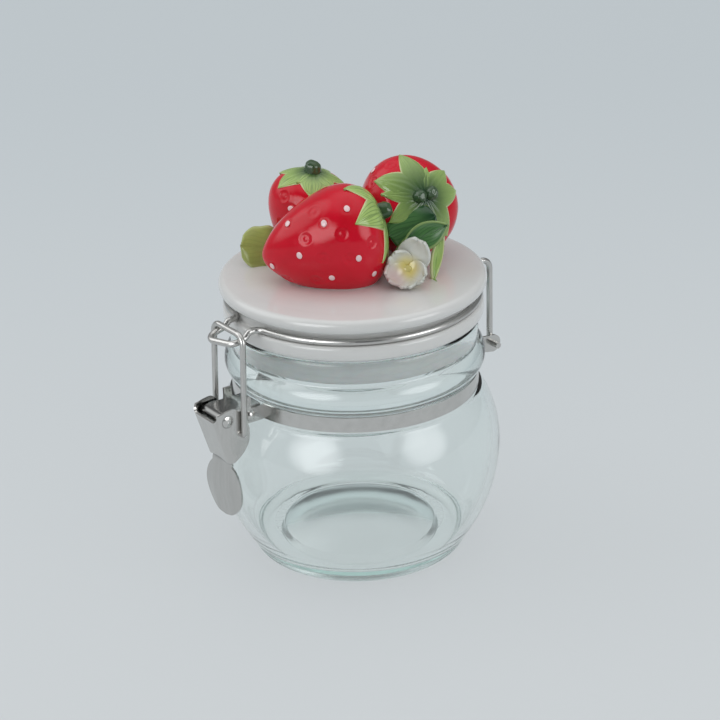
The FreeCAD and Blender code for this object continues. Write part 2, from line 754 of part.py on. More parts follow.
def berry(name, tip, crown, radius, tips, spread, stalk):
    """A strawberry from tip to crown with a star of sepals and a stalk."""
    axis = crown.sub(tip)
    length = size(name + "_length")
    round_size = size(radius)
    flesh = berry_solid(round_size, length)
    cap = berry_solid(round_size, length, size("calyx_thick"))
    star = star_prism(round_size * spread, tips, 0.42, length * 0.52, length + 5)
    sepals = cap.common(star)
    stem = Part.makeCylinder(stalk, 4.5, V(0, 0, length - 1.5))
    knob = Part.makeSphere(stalk * 1.15, V(0, 0, length + 3.0))
    turn = FreeCAD.Rotation(V(0, 0, 1), axis)
    obj = solid_feature(name, flesh.fuse([sepals, stem, knob]))
    obj.Placement = FreeCAD.Placement(tip, turn)
    return obj


def leaf(name, root, tip, normal, width):
    """A flat pointed leaf between two places, facing along normal."""
    along = tip.sub(root)
    length = along.Length
    thick = size("leaf_thick")
    right_side = Part.Arc(V(0, -1.2, 0), V(length * 0.45, -width / 2, 0), V(length, 0, 0)).toShape()
    left_side = Part.Arc(V(length, 0, 0), V(length * 0.45, width / 2, 0), V(0, 1.2, 0)).toShape()
    end = Part.LineSegment(V(0, 1.2, 0), V(0, -1.2, 0)).toShape()
    blade = Part.Face(Part.Wire([right_side, left_side, end])).extrude(V(0, 0, thick))
    blade.translate(V(0, 0, -thick / 2))
    across = normal.cross(along)
    turn = FreeCAD.Rotation(along, across, normal, "XZY")
    obj = solid_feature(name, blade)
    obj.Placement = FreeCAD.Placement(root, turn)
    return obj


def blossom(name, place, facing):
    """Five round petals about a domed heart."""
    petals = []
    for i in range(5):
        angle = math.radians(90 + 72 * i)
        middle = V(5.0 * math.cos(angle), 5.0 * math.sin(angle), -0.6)
        petals.append(Part.makeCylinder(4.1, 1.9, middle))
    heart = Part.makeSphere(2.8, V(0, 0, 0.6))
    back = Part.makeCylinder(3.2, 5.0, V(0, 0, -5.0))
    obj = solid_feature(name, heart.fuse(petals + [back]))
    obj.Placement = FreeCAD.Placement(place, FreeCAD.Rotation(V(0, 0, 1), facing))
    return obj


def lid_disc():
    plug_low = "(%s - plug_depth)" % LID_LOW
    corners = [
        ("0", plug_low),
        ("%s - plug_taper" % PLUG_RADIUS, plug_low),
        (PLUG_RADIUS, LID_LOW),
        ("%s - flange_round" % LOWER_FLANGE, LID_LOW, "flange_round", "right"),
        (LOWER_FLANGE, "%s + flange_round" % LID_LOW),
        (LOWER_FLANGE, "%s - flange_round" % GROOVE_LOW, "flange_round", "right"),
        ("%s - flange_round" % LOWER_FLANGE, GROOVE_LOW),
        (WIRE_GROOVE, GROOVE_LOW),
        (WIRE_GROOVE, GROOVE_TOP),
        ("%s - under_round" % LID_RADIUS, GROOVE_TOP, "under_round", "right"),
        (LID_RADIUS, "%s + under_round" % GROOVE_TOP),
        (LID_RADIUS, "%s - edge_round" % LID_TOP, "edge_round", "right"),
        ("%s - edge_round" % LID_RADIUS, LID_TOP),
        ("0", "%s + crown" % LID_TOP),
    ]
    return revolved("lid_disc", corners)


def ceramic_lid():
    """The lid with the strawberries, leaves and blossom fired onto it as one piece."""
    towards = on_lid(0, -1, 0).sub(on_lid(0, 0, 0))
    rightwards = on_lid(1, 0, 0).sub(on_lid(0, 0, 0))
    lift = V(0, 0, 1)
    front_axis = on_lid(45.0, 6.0, 8.0).sub(on_lid(0, 0, 0)).normalize()
    front_tip = on_lid(-32.5, -13.0, 11.0)
    left_axis = on_lid(-14.0, 15.0, 32.0).sub(on_lid(-19.0, 19.0, -4.0)).normalize()
    left_tip = on_lid(-19.0, 19.0, -4.0)
    right_axis = on_lid(18.5, -29.1, 15.9).sub(on_lid(0, 0, 0)).normalize()
    right_tip = on_lid(9.8, 32.1, 9.7)
    pieces = [
        lid_disc(),
        berry("front_berry", front_tip, front_tip.add(front_axis), "front_berry_radius", 6, 1.05, 2.2),
        berry("left_berry", left_tip, left_tip.add(left_axis), "left_berry_radius", 6, 1.0, 2.2),
        berry("right_berry", right_tip, right_tip.add(right_axis), "right_berry_radius", 6, 1.15, 2.2),
        leaf("left_leaf", on_lid(-27.0, 0.0, -0.8), on_lid(-41.0, 2.0, 13.5),
             towards.add(V(lift).multiply(0.6)), 13.0),
        leaf("right_leaf", on_lid(28.5, -8.0, -0.8), on_lid(36.0, 0.0, 16.0),
             towards.add(V(rightwards).multiply(0.3)), 10.0),
        blossom("blossom", on_lid(20.0, -16.5, 7.4), towards.add(V(lift).multiply(0.45))),
    ]
    return joined("ceramic_lid", pieces)


# ---------------------------------------------------------------- build, check, write

def nodes():
    """Every separate piece of the jar, in the order in which it is put together."""
    return [
        glass_jar(),
        seal_ring(),
        neck_band(),
        hinge_bracket(),
        pivot_bracket(),
        rivet("ear_rivet", "rivet_radius", "rivet_dome", EAR_OUTER, "-" + RIVET_REACH, RIVET_LEVEL),
        lever(),
        rivet("pivot_pin", "pivot_radius", "pin_dome", "lever_half_width", "-" + PIVOT_REACH, PIVOT_LEVEL),
        solid_feature("link", link_wire()),
        ceramic_lid(),
        solid_feature("lid_wire", lid_wire()),
    ]


def check(pieces):
    for obj in doc.Objects:
        bad = [word for word in obj.State if word in ("Invalid", "Error")]
        if bad:
            raise RuntimeError("%s is %s" % (obj.Name, ", ".join(bad)))
    for obj in pieces:
        shape = obj.Shape
        if shape.isNull() or not shape.isValid():
            raise RuntimeError("%s has no valid shape" % obj.Name)
        if len(shape.Solids) != 1:
            raise RuntimeError("%s has %d solids" % (obj.Name, len(shape.Solids)))


pieces = nodes()
doc.recompute()
check(pieces)
os.makedirs("parts", exist_ok=True)
for piece in pieces:
    piece.Label = piece.Name
    box = piece.Shape.optimalBoundingBox()
    print("%-14s volume %9.1f  x %6.1f %6.1f  y %6.1f %6.1f  z %6.1f %6.1f" % (
        piece.Label, piece.Shape.Volume, box.XMin, box.XMax, box.YMin, box.YMax, box.ZMin, box.ZMax))
    piece.Shape.exportStep(os.path.join("parts", piece.Label + ".step"))
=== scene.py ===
import math

import bmesh
import bpy
from bpy.props import FloatProperty, FloatVectorProperty, IntProperty, PointerProperty
from bpy.types import Operator, Panel, PropertyGroup
from mathutils import Matrix, Vector, kdtree, noise


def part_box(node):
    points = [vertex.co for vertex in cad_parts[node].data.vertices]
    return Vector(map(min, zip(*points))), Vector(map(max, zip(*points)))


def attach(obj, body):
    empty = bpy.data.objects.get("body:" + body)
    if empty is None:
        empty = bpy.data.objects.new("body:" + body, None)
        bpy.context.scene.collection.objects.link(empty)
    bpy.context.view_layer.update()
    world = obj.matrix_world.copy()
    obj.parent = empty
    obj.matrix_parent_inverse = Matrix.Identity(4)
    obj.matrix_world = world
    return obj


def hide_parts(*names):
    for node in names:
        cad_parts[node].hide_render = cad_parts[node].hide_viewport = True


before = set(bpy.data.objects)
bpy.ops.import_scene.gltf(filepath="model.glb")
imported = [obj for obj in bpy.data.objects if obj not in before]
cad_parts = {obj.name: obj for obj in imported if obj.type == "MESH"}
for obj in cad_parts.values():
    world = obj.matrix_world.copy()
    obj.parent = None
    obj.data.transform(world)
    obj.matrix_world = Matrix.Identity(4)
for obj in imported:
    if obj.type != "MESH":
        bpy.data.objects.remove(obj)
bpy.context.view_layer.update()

bl_info = {
    "name": "Strawberry Clamp Jar",
    "version": (1, 0, 0),
    "blender": (4, 5, 0),
    "location": "View3D > Sidebar > Jar",
    "description": "Builds the shown pieces of a glass jar with a ceramic strawberry clamp lid",
    "category": "Add Mesh",
}

MM = 0.001
GLASS_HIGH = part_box("glass_jar")[1]
SEAL_LOW, SEAL_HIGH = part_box("seal_ring")

# from the clasp's side, round the upright axis, to the side that the camera sees
SHOW_SIDE = math.radians(54.5)
LID_TOP = 0.1106
LEVER_HALF = 0.0078
PIN_HEAD = (LEVER_HALF, -0.0628, 0.0699)
WEB_FRONT, WEB_LOW, WEB_HIGH = -0.0681, 0.0525, 0.0703

# name, place, what it is turned to, side of the square and power
LAMPS = (
    ("left_softbox", (-0.75, -0.75, 0.95), (0, 0, 0.07), 0.9, 3.4),
    ("right_softbox", (0.95, 0.10, 0.75), (0, 0, 0.07), 0.8, 1.5),
    ("top_softbox", (0.0, 0.25, 1.30), (0, 0, 0.05), 1.3, 1.2),
)
BACKDROP = (0.53, 0.575, 0.60)
# the paler floor colour towards the front is painted light
FLOOR_FRONT_PAINTED_LIGHT = (0.615, 0.645, 0.660)
FLOOR_EVEN = 0.70
ROOM_LEVEL = 0.32
ROOM_DARKEST = 0.03
# windows and dark corners of the room: direction, the angles where one ends and where it is full,
# and its strength
WINDOWS = (
    ((0.31, -0.94, 0.36), 26, 8, 5.0),
    ((0.92, 0.38, 0.32), 24, 8, 4.0),
    ((-0.75, -0.75, 0.85), 34, 16, 1.6),
    ((0.0, 0.25, 1.30), 48, 18, 0.9),
    ((0.81, -0.58, 0.42), 75, 25, -0.27),
    ((-0.40, 0.90, 0.10), 45, 20, -0.12),
)


# ------------------------------------------------------------------ settings

class JarSettings(PropertyGroup):
    """Sizes and colours of the jar's shown pieces."""

    turns: IntProperty(
        name="Steps round", description="Faces round the glass and the lid",
        default=192, min=48, max=512)
    foot_ring: FloatProperty(
        name="Foot ring", description="Width of the ring the jar stands on",
        default=0.0045, subtype="DISTANCE")
    foot_rise: FloatProperty(
        name="Foot rise", description="Height of the hollow under the floor",
        default=0.0025, subtype="DISTANCE")
    floor_thick: FloatProperty(
        name="Floor thickness", description="Thickness of the glass floor",
        default=0.0045, subtype="DISTANCE")
    wall: FloatProperty(
        name="Wall", description="Thickness of the glass wall",
        default=0.003, subtype="DISTANCE")
    ripple: FloatProperty(
        name="Ripple", description="Unevenness of the pressed glass",
        default=0.00012, subtype="DISTANCE")
    glass_tint: FloatVectorProperty(
        name="Glass tint", description="Colour of thick glass",
        default=(0.72, 0.93, 0.87), subtype="COLOR")


class LidSettings(PropertyGroup):
    """Sizes and colours of the ceramic lid."""

    edge_round: FloatProperty(
        name="Edge rounding", description="Radius of the lid's top edge",
        default=0.0026, subtype="DISTANCE")
    glaze: FloatVectorProperty(
        name="Lid glaze", description="White glaze of the lid",
        default=(0.66, 0.65, 0.63), subtype="COLOR")
    blush: FloatVectorProperty(
        name="Blush", description="Stain of glaze round the fruit",
        default=(0.72, 0.50, 0.46), subtype="COLOR")
    berry: FloatVectorProperty(
        name="Berry glaze", description="Red glaze of the strawberries",
        default=(0.60, 0.006, 0.022), subtype="COLOR")
    leaf: FloatVectorProperty(
        name="Leaf glaze", description="Light green of leaves and sepals",
        default=(0.35, 0.49, 0.14), subtype="COLOR")
    leaf_dark: FloatVectorProperty(
        name="Leaf shade", description="Dark green of stalks and veins",
        default=(0.016, 0.060, 0.024), subtype="COLOR")


class ClaspSettings(PropertyGroup):
    """Sizes and colours of the steel parts."""

    sheet: FloatProperty(
        name="Sheet", description="Thickness of the lever's steel sheet",
        default=0.0009, subtype="DISTANCE")
    fold: FloatProperty(
        name="Fold", description="Radius of the lever's folds",
        default=0.0022, subtype="DISTANCE")
    steel: FloatVectorProperty(
        name="Steel", description="Colour of the steel",
        default=(0.66, 0.65, 0.63), subtype="COLOR")


# ------------------------------------------------------------------ mesh helpers

def on_lid(right, away, up):
    """A place above the lid in metres; right and away as seen from the lid's show side."""
    x = right * math.cos(SHOW_SIDE) - away * math.sin(SHOW_SIDE)
    y = right * math.sin(SHOW_SIDE) + away * math.cos(SHOW_SIDE)
    return Vector((x * MM, y * MM, LID_TOP + up * MM))


def direction(right, away, up):
    """A way, or a reach in mm, as seen from the lid's show side."""
    return on_lid(right, away, up) - on_lid(0, 0, 0)


def smooth_step(low, high, value):
    """A soft change from 0 to 1 while value goes from low to high."""
    t = min(max((value - low) / (high - low), 0.0), 1.0)
    return t * t * (3 - 2 * t)


def shown(bm, name, material):
    """The mesh as an object of the scene that wears one material."""
    mesh = bpy.data.meshes.new(name)
    bm.to_mesh(mesh)
    bm.free()
    mesh.materials.append(material)
    piece = bpy.data.objects.new(name, mesh)
    bpy.context.scene.collection.objects.link(piece)
    return piece


def finished(bm, name, body, material, nodes=(), sharp=None):
    """The mesh as a smooth-shaded piece that rides on a body and stands for CAD nodes."""
    bmesh.ops.remove_doubles(bm, verts=bm.verts[:], dist=1e-6)
    bmesh.ops.recalc_face_normals(bm, faces=bm.faces[:])
    piece = shown(bm, name, material)
    piece.data.polygons.foreach_set("use_smooth", [True] * len(piece.data.polygons))
    if sharp:
        piece.data.set_sharp_from_angle(angle=math.radians(sharp))
    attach(piece, body)
    for node in nodes:
        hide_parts(node)
    return piece


def lid_piece(bm, name, material):
    """A finished piece of the ceramic lid."""
    return finished(bm, name, "lid", material, ["ceramic_lid"])


def passing(places, f, scale=1.0):
    """The four places of a row round share f of its way, and how far f is past the second."""
    last = len(places) - 1
    first = min(int(f * last), last - 1)
    steps = range(first - 1, first + 3)
    return [Vector(places[min(max(k, 0), last)]) * scale for k in steps], f * last - first


def smooth_way(p, t):
    """A smooth way from p[1] at t = 0 to p[2] at t = 1, led by the places before and after."""
    return 0.5 * (
        2 * p[1] + (p[2] - p[0]) * t + (2 * p[0] - 5 * p[1] + 4 * p[2] - p[3]) * t ** 2
        + (3 * p[1] - p[0] - 3 * p[2] + p[3]) * t ** 3)


def draw_profile(bm, corners, step=0.0006):
    """A chain of edges in the XZ plane; a corner (r, z, radius, side) starts an arc to the next."""
    pen = bm.verts.new((corners[0][0], 0, corners[0][1]))
    for here, there in zip(corners, corners[1:]):
        end = Vector((there[0], 0, there[1]))
        if len(here) == 2:
            pen = bmesh.ops.extrude_vert_indiv(bm, verts=[pen])["verts"][0]
            pen.co = end
            continue
        start = Vector((here[0], 0, here[1]))
        chord = end - start
        half = chord.length / 2
        reach = math.sqrt(max(here[2] ** 2 - half ** 2, 0.0))
        left = Vector((-chord.z, 0, chord.x)).normalized()
        inward = -left if here[3] == "left" else left
        centre = (start + end) / 2 + inward * reach
        angle = 2 * math.asin(min(half / here[2], 1.0))
        steps = max(3, int(angle * here[2] / step))
        turn = angle if here[3] == "left" else -angle
        spun = bmesh.ops.spin(bm, geom=[pen], cent=centre, axis=(0, 1, 0), angle=turn, steps=steps)
        pen = [g for g in spun["geom_last"] if isinstance(g, bmesh.types.BMVert)][0]
        pen.co = end


def spin_round(bm, steps):
    """Turns the drawn profile once round the upright axis."""
    bmesh.ops.spin(
        bm, geom=bm.verts[:] + bm.edges[:], cent=(0, 0, 0), axis=(0, 0, 1),
        angle=math.tau, steps=steps, use_merge=True)
    bmesh.ops.remove_doubles(bm, verts=bm.verts[:], dist=1e-7)


def blade(bm, place, length, width, shape, along=18, across=12, thickness=0.0010):
    """A leaf, sepal or petal: a grid pulled to an outline by shape(a, b), thickened and placed.

    a runs from 0 at the root to 1 at the tip and b from -1 to 1 across."""
    before = set(bm.verts)
    grid = bmesh.ops.create_grid(bm, x_segments=along, y_segments=across, size=1.0, calc_uvs=True)
    verts = grid["verts"]
    faces = list({f for v in verts for f in v.link_faces})
    layer = bm.loops.layers.uv.verify()
    for face in faces:
        for loop in face.loops:
            loop[layer].uv = ((loop.vert.co.x + 1) / 2, (loop.vert.co.y + 1) / 2)
    for v in verts:
        a = (v.co.x + 1) / 2
        b = v.co.y
        v.co = shape(a, b, length, width)
    bmesh.ops.recalc_face_normals(bm, faces=faces)
    bmesh.ops.solidify(bm, geom=faces, thickness=thickness)
    made = [v for v in bm.verts if v not in before]
    bmesh.ops.transform(bm, matrix=place, verts=made)


def lump(place, size, rows, unevenness, fineness):
    """An uneven ball of clay."""
    bm = bmesh.new()
    bmesh.ops.create_uvsphere(bm, u_segments=40, v_segments=rows, radius=1.0)
    for v in bm.verts:
        v.co *= 1 + unevenness * noise.noise(v.co * fineness)
    bmesh.ops.transform(bm, matrix=place @ Matrix.Diagonal((*size, 1)), verts=bm.verts[:])
    return bm


def basis(origin, along, normal):
    """A matrix with X along, Z as near to normal as it goes."""
    x = along.normalized()
    y = normal.cross(x).normalized()
    z = x.cross(y)
    turn = Matrix((x, y, z)).transposed().to_4x4()
    return Matrix.Translation(origin) @ turn


# ------------------------------------------------------------------ material helpers

def give(tree, socket, value):
    """Joins a socket to another one, or sets it to a number, a place or a colour."""
    if isinstance(value, bpy.types.NodeSocket):
        tree.links.new(value, socket)
    elif socket.type == "RGBA":
        socket.default_value = (*value, 1)
    else:
        socket.default_value = value


def add_node(tree, kind, inputs=(), **settings):
    """A shader node with its settings, and its inputs given by name or number."""
    node = tree.nodes.new("ShaderNode" + kind)
    for name, value in settings.items():
        setattr(node, name, value)
    for name, value in dict(inputs).items():
        give(tree, node.inputs[name], value)
    return node


def place_of(tree):
    """The Object coordinates, which are metres in the jar's own frame."""
    return add_node(tree, "TexCoord").outputs["Object"]


def height_of(tree):
    """The height above the plane that the jar stands on."""
    return add_node(tree, "SeparateXYZ", {"Vector": place_of(tree)}).outputs["Z"]


def clouds(tree, places, scale, detail=2):
    """Soft patches from 0 to 1."""
    inputs = {"Vector": places, "Scale": scale, "Detail": detail}
    return add_node(tree, "TexNoise", inputs).outputs["Fac"]


def arithmetic(tree, operation, first, second):
    """One sum of two sockets or numbers."""
    return add_node(tree, "Math", {0: first, 1: second}, operation=operation).outputs[0]


def ramp(tree, value, low, high, start, end, kind="LINEAR"):
    """An even change from start to end while value goes from low to high."""
    inputs = {"Value": value, "From Min": low, "From Max": high, "To Min": start, "To Max": end}
    return add_node(tree, "MapRange", inputs, interpolation_type=kind).outputs["Result"]


def fade(tree, value, low, high, start, end):
    """A soft change from start to end while value goes from low to high."""
    return ramp(tree, value, low, high, start, end, "SMOOTHSTEP")


def mix_colour(tree, factor, first, second):
    inputs = {"Factor": factor, "A": first, "B": second}
    return add_node(tree, "Mix", inputs, data_type="RGBA").outputs["Result"]


def mix_shader(tree, factor, first, second):
    return add_node(tree, "MixShader", {"Fac": factor, 1: first, 2: second}).outputs["Shader"]


def share_along(tree, places, way):
    """How far places or directions lie along one way."""
    inputs = {0: places, 1: way.normalized()}
    return add_node(tree, "VectorMath", inputs, operation="DOT_PRODUCT").outputs["Value"]


def ball_mask(tree, centre, inner, outer):
    """1 within inner metres of a place and 0 past outer."""
    distance = add_node(tree, "VectorMath", {0: place_of(tree), 1: centre}, operation="DISTANCE")
    return fade(tree, distance.outputs["Value"], inner, outer, 1, 0)


def build_once(name, inputs, outputs, fill):
    """A node group with named sockets; fill makes its nodes and gives back what goes out."""
    if name in bpy.data.node_groups:
        return bpy.data.node_groups[name]
    group = bpy.data.node_groups.new(name, "ShaderNodeTree")
    for label, kind, default in inputs:
        kind = "NodeSocket" + kind
        socket = group.interface.new_socket(name=label, in_out="INPUT", socket_type=kind)
        socket.default_value = default
    for label, kind in outputs:
        kind = "NodeSocket" + kind
        group.interface.new_socket(name=label, in_out="OUTPUT", socket_type=kind)
    enter, leave = group.nodes.new("NodeGroupInput"), group.nodes.new("NodeGroupOutput")
    made = fill(group, enter.outputs)
    for (label, kind), value in zip(outputs, made):
        give(group, leave.inputs[label], value)
    return group


PAINT_OUTPUTS = (("Colour", "Color"), ("Roughness", "Float"), ("Height", "Float"))


def glaze_group():
    """Hand-laid glaze: slow changes of tone, and a faint swell of the surface."""
    def fill(group, given):
        tone = clouds(group, place_of(group), given["Scale"], 3)
        pool = ramp(group, tone, 0.42, 0.70, 0, given["Pooling"])
        swell = clouds(group, place_of(group), 140)
        colour = mix_colour(group, pool, given["Colour"], given["Pooled colour"])
        return colour, ramp(group, swell, 0, 1, 0.07, 0.17), swell

    inputs = (
        ("Colour", "Color", (0.8, 0.8, 0.8, 1)),
        ("Pooled colour", "Color", (0.6, 0.6, 0.6, 1)),
        ("Pooling", "Float", 0.5),
        ("Scale", "Float", 90.0),
    )
    return build_once("Hand glaze", inputs, PAINT_OUTPUTS, fill)


def steel_group():
    """Satin sheet or drawn wire: fine grain drawn out along one way, and a little smudging."""
    def fill(group, given):
        places = {"Vector": place_of(group), "Scale": given["Grain scale"]}
        streaks = clouds(group, add_node(group, "Mapping", places).outputs["Vector"], 1.0, 4)
        smudge = clouds(group, place_of(group), 160)
        colour = mix_colour(group, streaks, given["Grain colour"], given["Colour"])
        clean, smudged = given["Clean roughness"], given["Smudged roughness"]
        return colour, ramp(group, smudge, 0, 1, clean, smudged), streaks

    inputs = (
        ("Colour", "Color", (0.7, 0.7, 0.7, 1)),
        ("Grain colour", "Color", (0.6, 0.6, 0.6, 1)),
        ("Clean roughness", "Float", 0.2),
        ("Smudged roughness", "Float", 0.3),
        ("Grain scale", "Vector", (300, 300, 300)),
    )
    return build_once("Steel grain", inputs, PAINT_OUTPUTS, fill)


def vein_group():
    """Leaf paint: dark at the root and in the slanting veins, pale along the edge."""
    def fill(group, given):
        uv = add_node(group, "UVMap").outputs["UV"]
        split = add_node(group, "SeparateXYZ", {"Vector": uv}).outputs
        along, across = split["X"], arithmetic(group, "SUBTRACT", split["Y"], 0.5)
        off_middle = arithmetic(group, "ABSOLUTE", across, 0.0)
        slant = arithmetic(group, "SUBTRACT", arithmetic(group, "MULTIPLY", off_middle, 3.4), along)
        band = add_node(group, "CombineXYZ", {"X": slant}).outputs["Vector"]
        wave = add_node(group, "TexWave", {"Vector": band, "Scale": 0.85, "Distortion": 0.5})
        line = fade(group, wave.outputs["Fac"], 0.62, 1.0, 0, given["Veining"])
        midrib = fade(group, off_middle, 0.0, 0.05, given["Veining"], 0)
        root = fade(group, along, 0.0, given["Root spread"], 1, 0)
        shade = arithmetic(group, "MAXIMUM", root, arithmetic(group, "MAXIMUM", line, midrib))
        colour = mix_colour(group, shade, given["Colour"], given["Vein colour"])
        rim = fade(group, off_middle, 0.40, 0.49, 0, 0.85)
        return (mix_colour(group, rim, colour, given["Edge colour"]),)

    inputs = (
        ("Colour", "Color", (0.35, 0.49, 0.14, 1)),
        ("Vein colour", "Color", (0.016, 0.060, 0.024, 1)),
        ("Edge colour", "Color", (0.62, 0.63, 0.34, 1)),
        ("Root spread", "Float", 0.5),
        ("Veining", "Float", 0.42),
    )
    return build_once("Leaf veins", inputs, PAINT_OUTPUTS[:1], fill)


def new_material(name, **finish):
    """A material whose shader has plain values, named with _ for the spaces."""
    material = bpy.data.materials.new(name)
    material.use_nodes = True
    tree = material.node_tree
    shader = tree.nodes["Principled BSDF"]
    for label, value in finish.items():
        give(tree, shader.inputs[label.replace("_", " ")], value)
    return material, tree, shader


def add_bump(tree, shader, height, strength, distance):
    inputs = {"Height": height, "Strength": strength, "Distance": distance}
    bump = add_node(tree, "Bump", inputs)
    give(tree, shader.inputs["Normal"], bump.outputs["Normal"])


def wear(tree, shader, group, inputs, paint, strength, distance):
    """Puts a group's colour, roughness and relief on a shader; paint may go over its colour."""
    coat = add_node(tree, "Group", inputs, node_tree=group).outputs
    colour = paint(tree, coat["Colour"]) if paint else coat["Colour"]
    give(tree, shader.inputs["Base Color"], colour)
    give(tree, shader.inputs["Roughness"], coat["Roughness"])
    add_bump(tree, shader, coat["Height"], strength, distance)


def glaze_material(
        name, colour, pooled, pooling=0.5, scale=90.0, paint=None, coat=0.2, gloss=0.5):
    """A glossy glaze; paint may lay another colour over the glaze and gives back its socket."""
    if name in bpy.data.materials:
        return bpy.data.materials[name]
    material, tree, shader = new_material(
        name, IOR=1.45, Coat_Weight=coat, Specular_IOR_Level=gloss, Coat_Roughness=0.04)
    inputs = {"Colour": colour, "Pooled colour": pooled, "Pooling": pooling, "Scale": scale}
    wear(tree, shader, glaze_group(), inputs, paint, 0.25, 0.0004)
    return material


def steel_material(name, colour, roughness, grain, grain_scale, paint=None):
    """Steel with its grain; paint may lay another colour over it and gives back its socket."""
    if name in bpy.data.materials:
        return bpy.data.materials[name]
    material, tree, shader = new_material(name, Metallic=1.0)
    inputs = {
        "Colour": colour,
        "Grain colour": [0.82 * c for c in colour],
        "Clean roughness": 0.75 * roughness,
        "Smudged roughness": 1.25 * roughness,
        "Grain scale": grain_scale,
    }
    wear(tree, shader, steel_group(), inputs, paint, grain, 0.00005)
    return material


def dress(node, material):
    """A CAD node that keeps its shape gets its finish."""
    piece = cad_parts[node]
    if not piece.material_slots:
        piece.data.materials.append(material)
    for slot in piece.material_slots:
        slot.material = material


# ------------------------------------------------------------------ glass

def glass_material():
    """Clear glass that is tinted where it is thick, with a stippled foot."""
    material, tree, shader = new_material(
        "clear pressed glass", Base_Color=(0.985, 1.0, 0.995), IOR=1.5, Transmission_Weight=1.0)
    stipple = fade(tree, height_of(tree), 0.0016, 0.0052, 0.24, 0.0)
    give(tree, shader.inputs["Roughness"], stipple)
    colour = bpy.context.scene.jar_settings.glass_tint
    tint = add_node(tree, "VolumeAbsorption", {"Color": colour, "Density": 18.0})
    give(tree, tree.nodes["Material Output"].inputs["Volume"], tint.outputs["Volume"])
    return material


class JAR_OT_glass(Operator):
    """Spins the glass jar with its ring foot, shoulder, neck bead and rim"""
    bl_idname = "jar.glass"
    bl_label = "Glass jar"

    def execute(self, context):
        s = context.scene.jar_settings
        body, level, low_curve, high_curve = 0.0548, 0.042, 0.0618, 0.0404
        shoulder, groove, neck = 0.0649, 0.0458, 0.0430
        bead_low, crease, rim_top, rim = 0.0722, 0.0840, GLASS_HIGH.z, 0.0468
        low_left, high_left = body - low_curve, body - high_curve
        heel, heel_curve = 0.004, 0.0044
        heel_x = low_left + math.sqrt(low_curve ** 2 - (level - heel) ** 2)
        foot_x = heel_x - math.sqrt(heel_curve ** 2 - (heel_curve - heel) ** 2)
        ring = foot_x - s.foot_ring
        shoulder_x = high_left + math.sqrt(high_curve ** 2 - (shoulder - level) ** 2)
        floor = s.foot_rise + s.floor_thick
        dip, dip_edge = floor - 0.0006, 0.0300
        inner_low = low_curve - s.wall
        inner_high = high_curve - s.wall
        inner_heel = floor + s.wall
        inner_x = low_left + math.sqrt(inner_low ** 2 - (level - inner_heel) ** 2)
        bore_z = level + math.sqrt(inner_high ** 2 - (neck - high_left) ** 2)
        bm = bmesh.new()
        draw_profile(bm, [
            (0, s.foot_rise),
            (ring - 0.0032, s.foot_rise, 0.0012, "right"),
            (ring - 0.0024, s.foot_rise - 0.0005),
            (ring - 0.0006, 0.0004, 0.0012, "left"),
            (ring + 0.0002, 0),
            (foot_x, 0, heel_curve, "right"),
            (heel_x, heel, low_curve, "right"),
            (body, level, high_curve, "right"),
            (shoulder_x, shoulder, 0.0022, "left"),
            (groove, shoulder + 0.0018),
            (groove, bead_low - 0.0006, 0.0012, "left"),
            (groove + 0.0005, bead_low + 0.0004, 0.0066, "right"),
            (groove + 0.0007, crease - 0.0006, 0.0010, "left"),
            (groove + 0.0006, crease + 0.0006),
            (rim, rim_top - 0.0018, 0.0018, "right"),
            (rim - 0.0018, rim_top, 0.0019, "right"),
            (neck, rim_top - 0.0019),
            (neck, bore_z, inner_high, "left"),
            (body - s.wall, level, inner_low, "left"),
            (inner_x, inner_heel, s.wall + 0.0016, "left"),
            (inner_x - s.wall - 0.0008, floor),
            (dip_edge, floor, 0.0008, "left"),
            (dip_edge - 0.0010, dip),
            (0, dip),
        ])
        spin_round(bm, s.turns)
        wall_low, wall_high, around, upward = 0.008, 0.064, 60, 45
        for v in bm.verts:
            reach = math.hypot(v.co.x, v.co.y)
            if wall_low < v.co.z < wall_high and reach > dip_edge:
                ripple = Vector((v.co.x * around, v.co.y * around, v.co.z * upward))
                inward = s.ripple * (noise.noise(ripple) - 1) / reach
                v.co.x += v.co.x * inward
                v.co.y += v.co.y * inward
        glass = finished(bm, "jar_glass", "jar", glass_material(), ["glass_jar"])
        glass.visible_shadow = False
        return {"FINISHED"}


def seal_material():
    """Soft silicone, a little cloudy."""
    material, tree, shader = new_material(
        "grey silicone", Roughness=0.38, Subsurface_Weight=0.15, Subsurface_Scale=0.002)
    cloud = clouds(tree, place_of(tree), 220, 3)
    colour = mix_colour(tree, cloud, (0.74, 0.74, 0.73), (0.84, 0.84, 0.83))
    give(tree, shader.inputs["Base Color"], colour)
    add_bump(tree, shader, cloud, 0.3, 0.0001)
    return material


class JAR_OT_seal(Operator):
    """Spins the silicone seal that sits in the neck under the lid"""
    bl_idname = "jar.seal"
    bl_label = "Seal"

    def execute(self, context):
        s = context.scene.jar_settings
        top, low = SEAL_HIGH.z, SEAL_LOW.z
        edge, inner = SEAL_HIGH.x, 0.0411
        neck, rim_top = 0.0429, GLASS_HIGH.z
        bm = bmesh.new()
        draw_profile(bm, [
            (inner + 0.0002, top),
            (inner, top - 0.0003),
            (inner, low + 0.0004, 0.0005, "left"),
            (inner + 0.0005, low),
            (neck - 0.0006, low, 0.0006, "right"),
            (neck, low + 0.0006),
            (neck, low + 0.0024, 0.0005, "left"),
            (neck, low + 0.0032),
            (neck, low + 0.0050, 0.0005, "left"),
            (neck, low + 0.0058),
            (neck, rim_top),
            (edge - 0.0004, rim_top, 0.00045, "right"),
            (edge - 0.0004, top),
            (inner + 0.0002, top),
        ], step=0.0003)
        spin_round(bm, s.turns)
        finished(bm, "neck_seal", "jar", seal_material(), ["seal_ring"], sharp=40)
        return {"FINISHED"}


# ------------------------------------------------------------------ steel parts

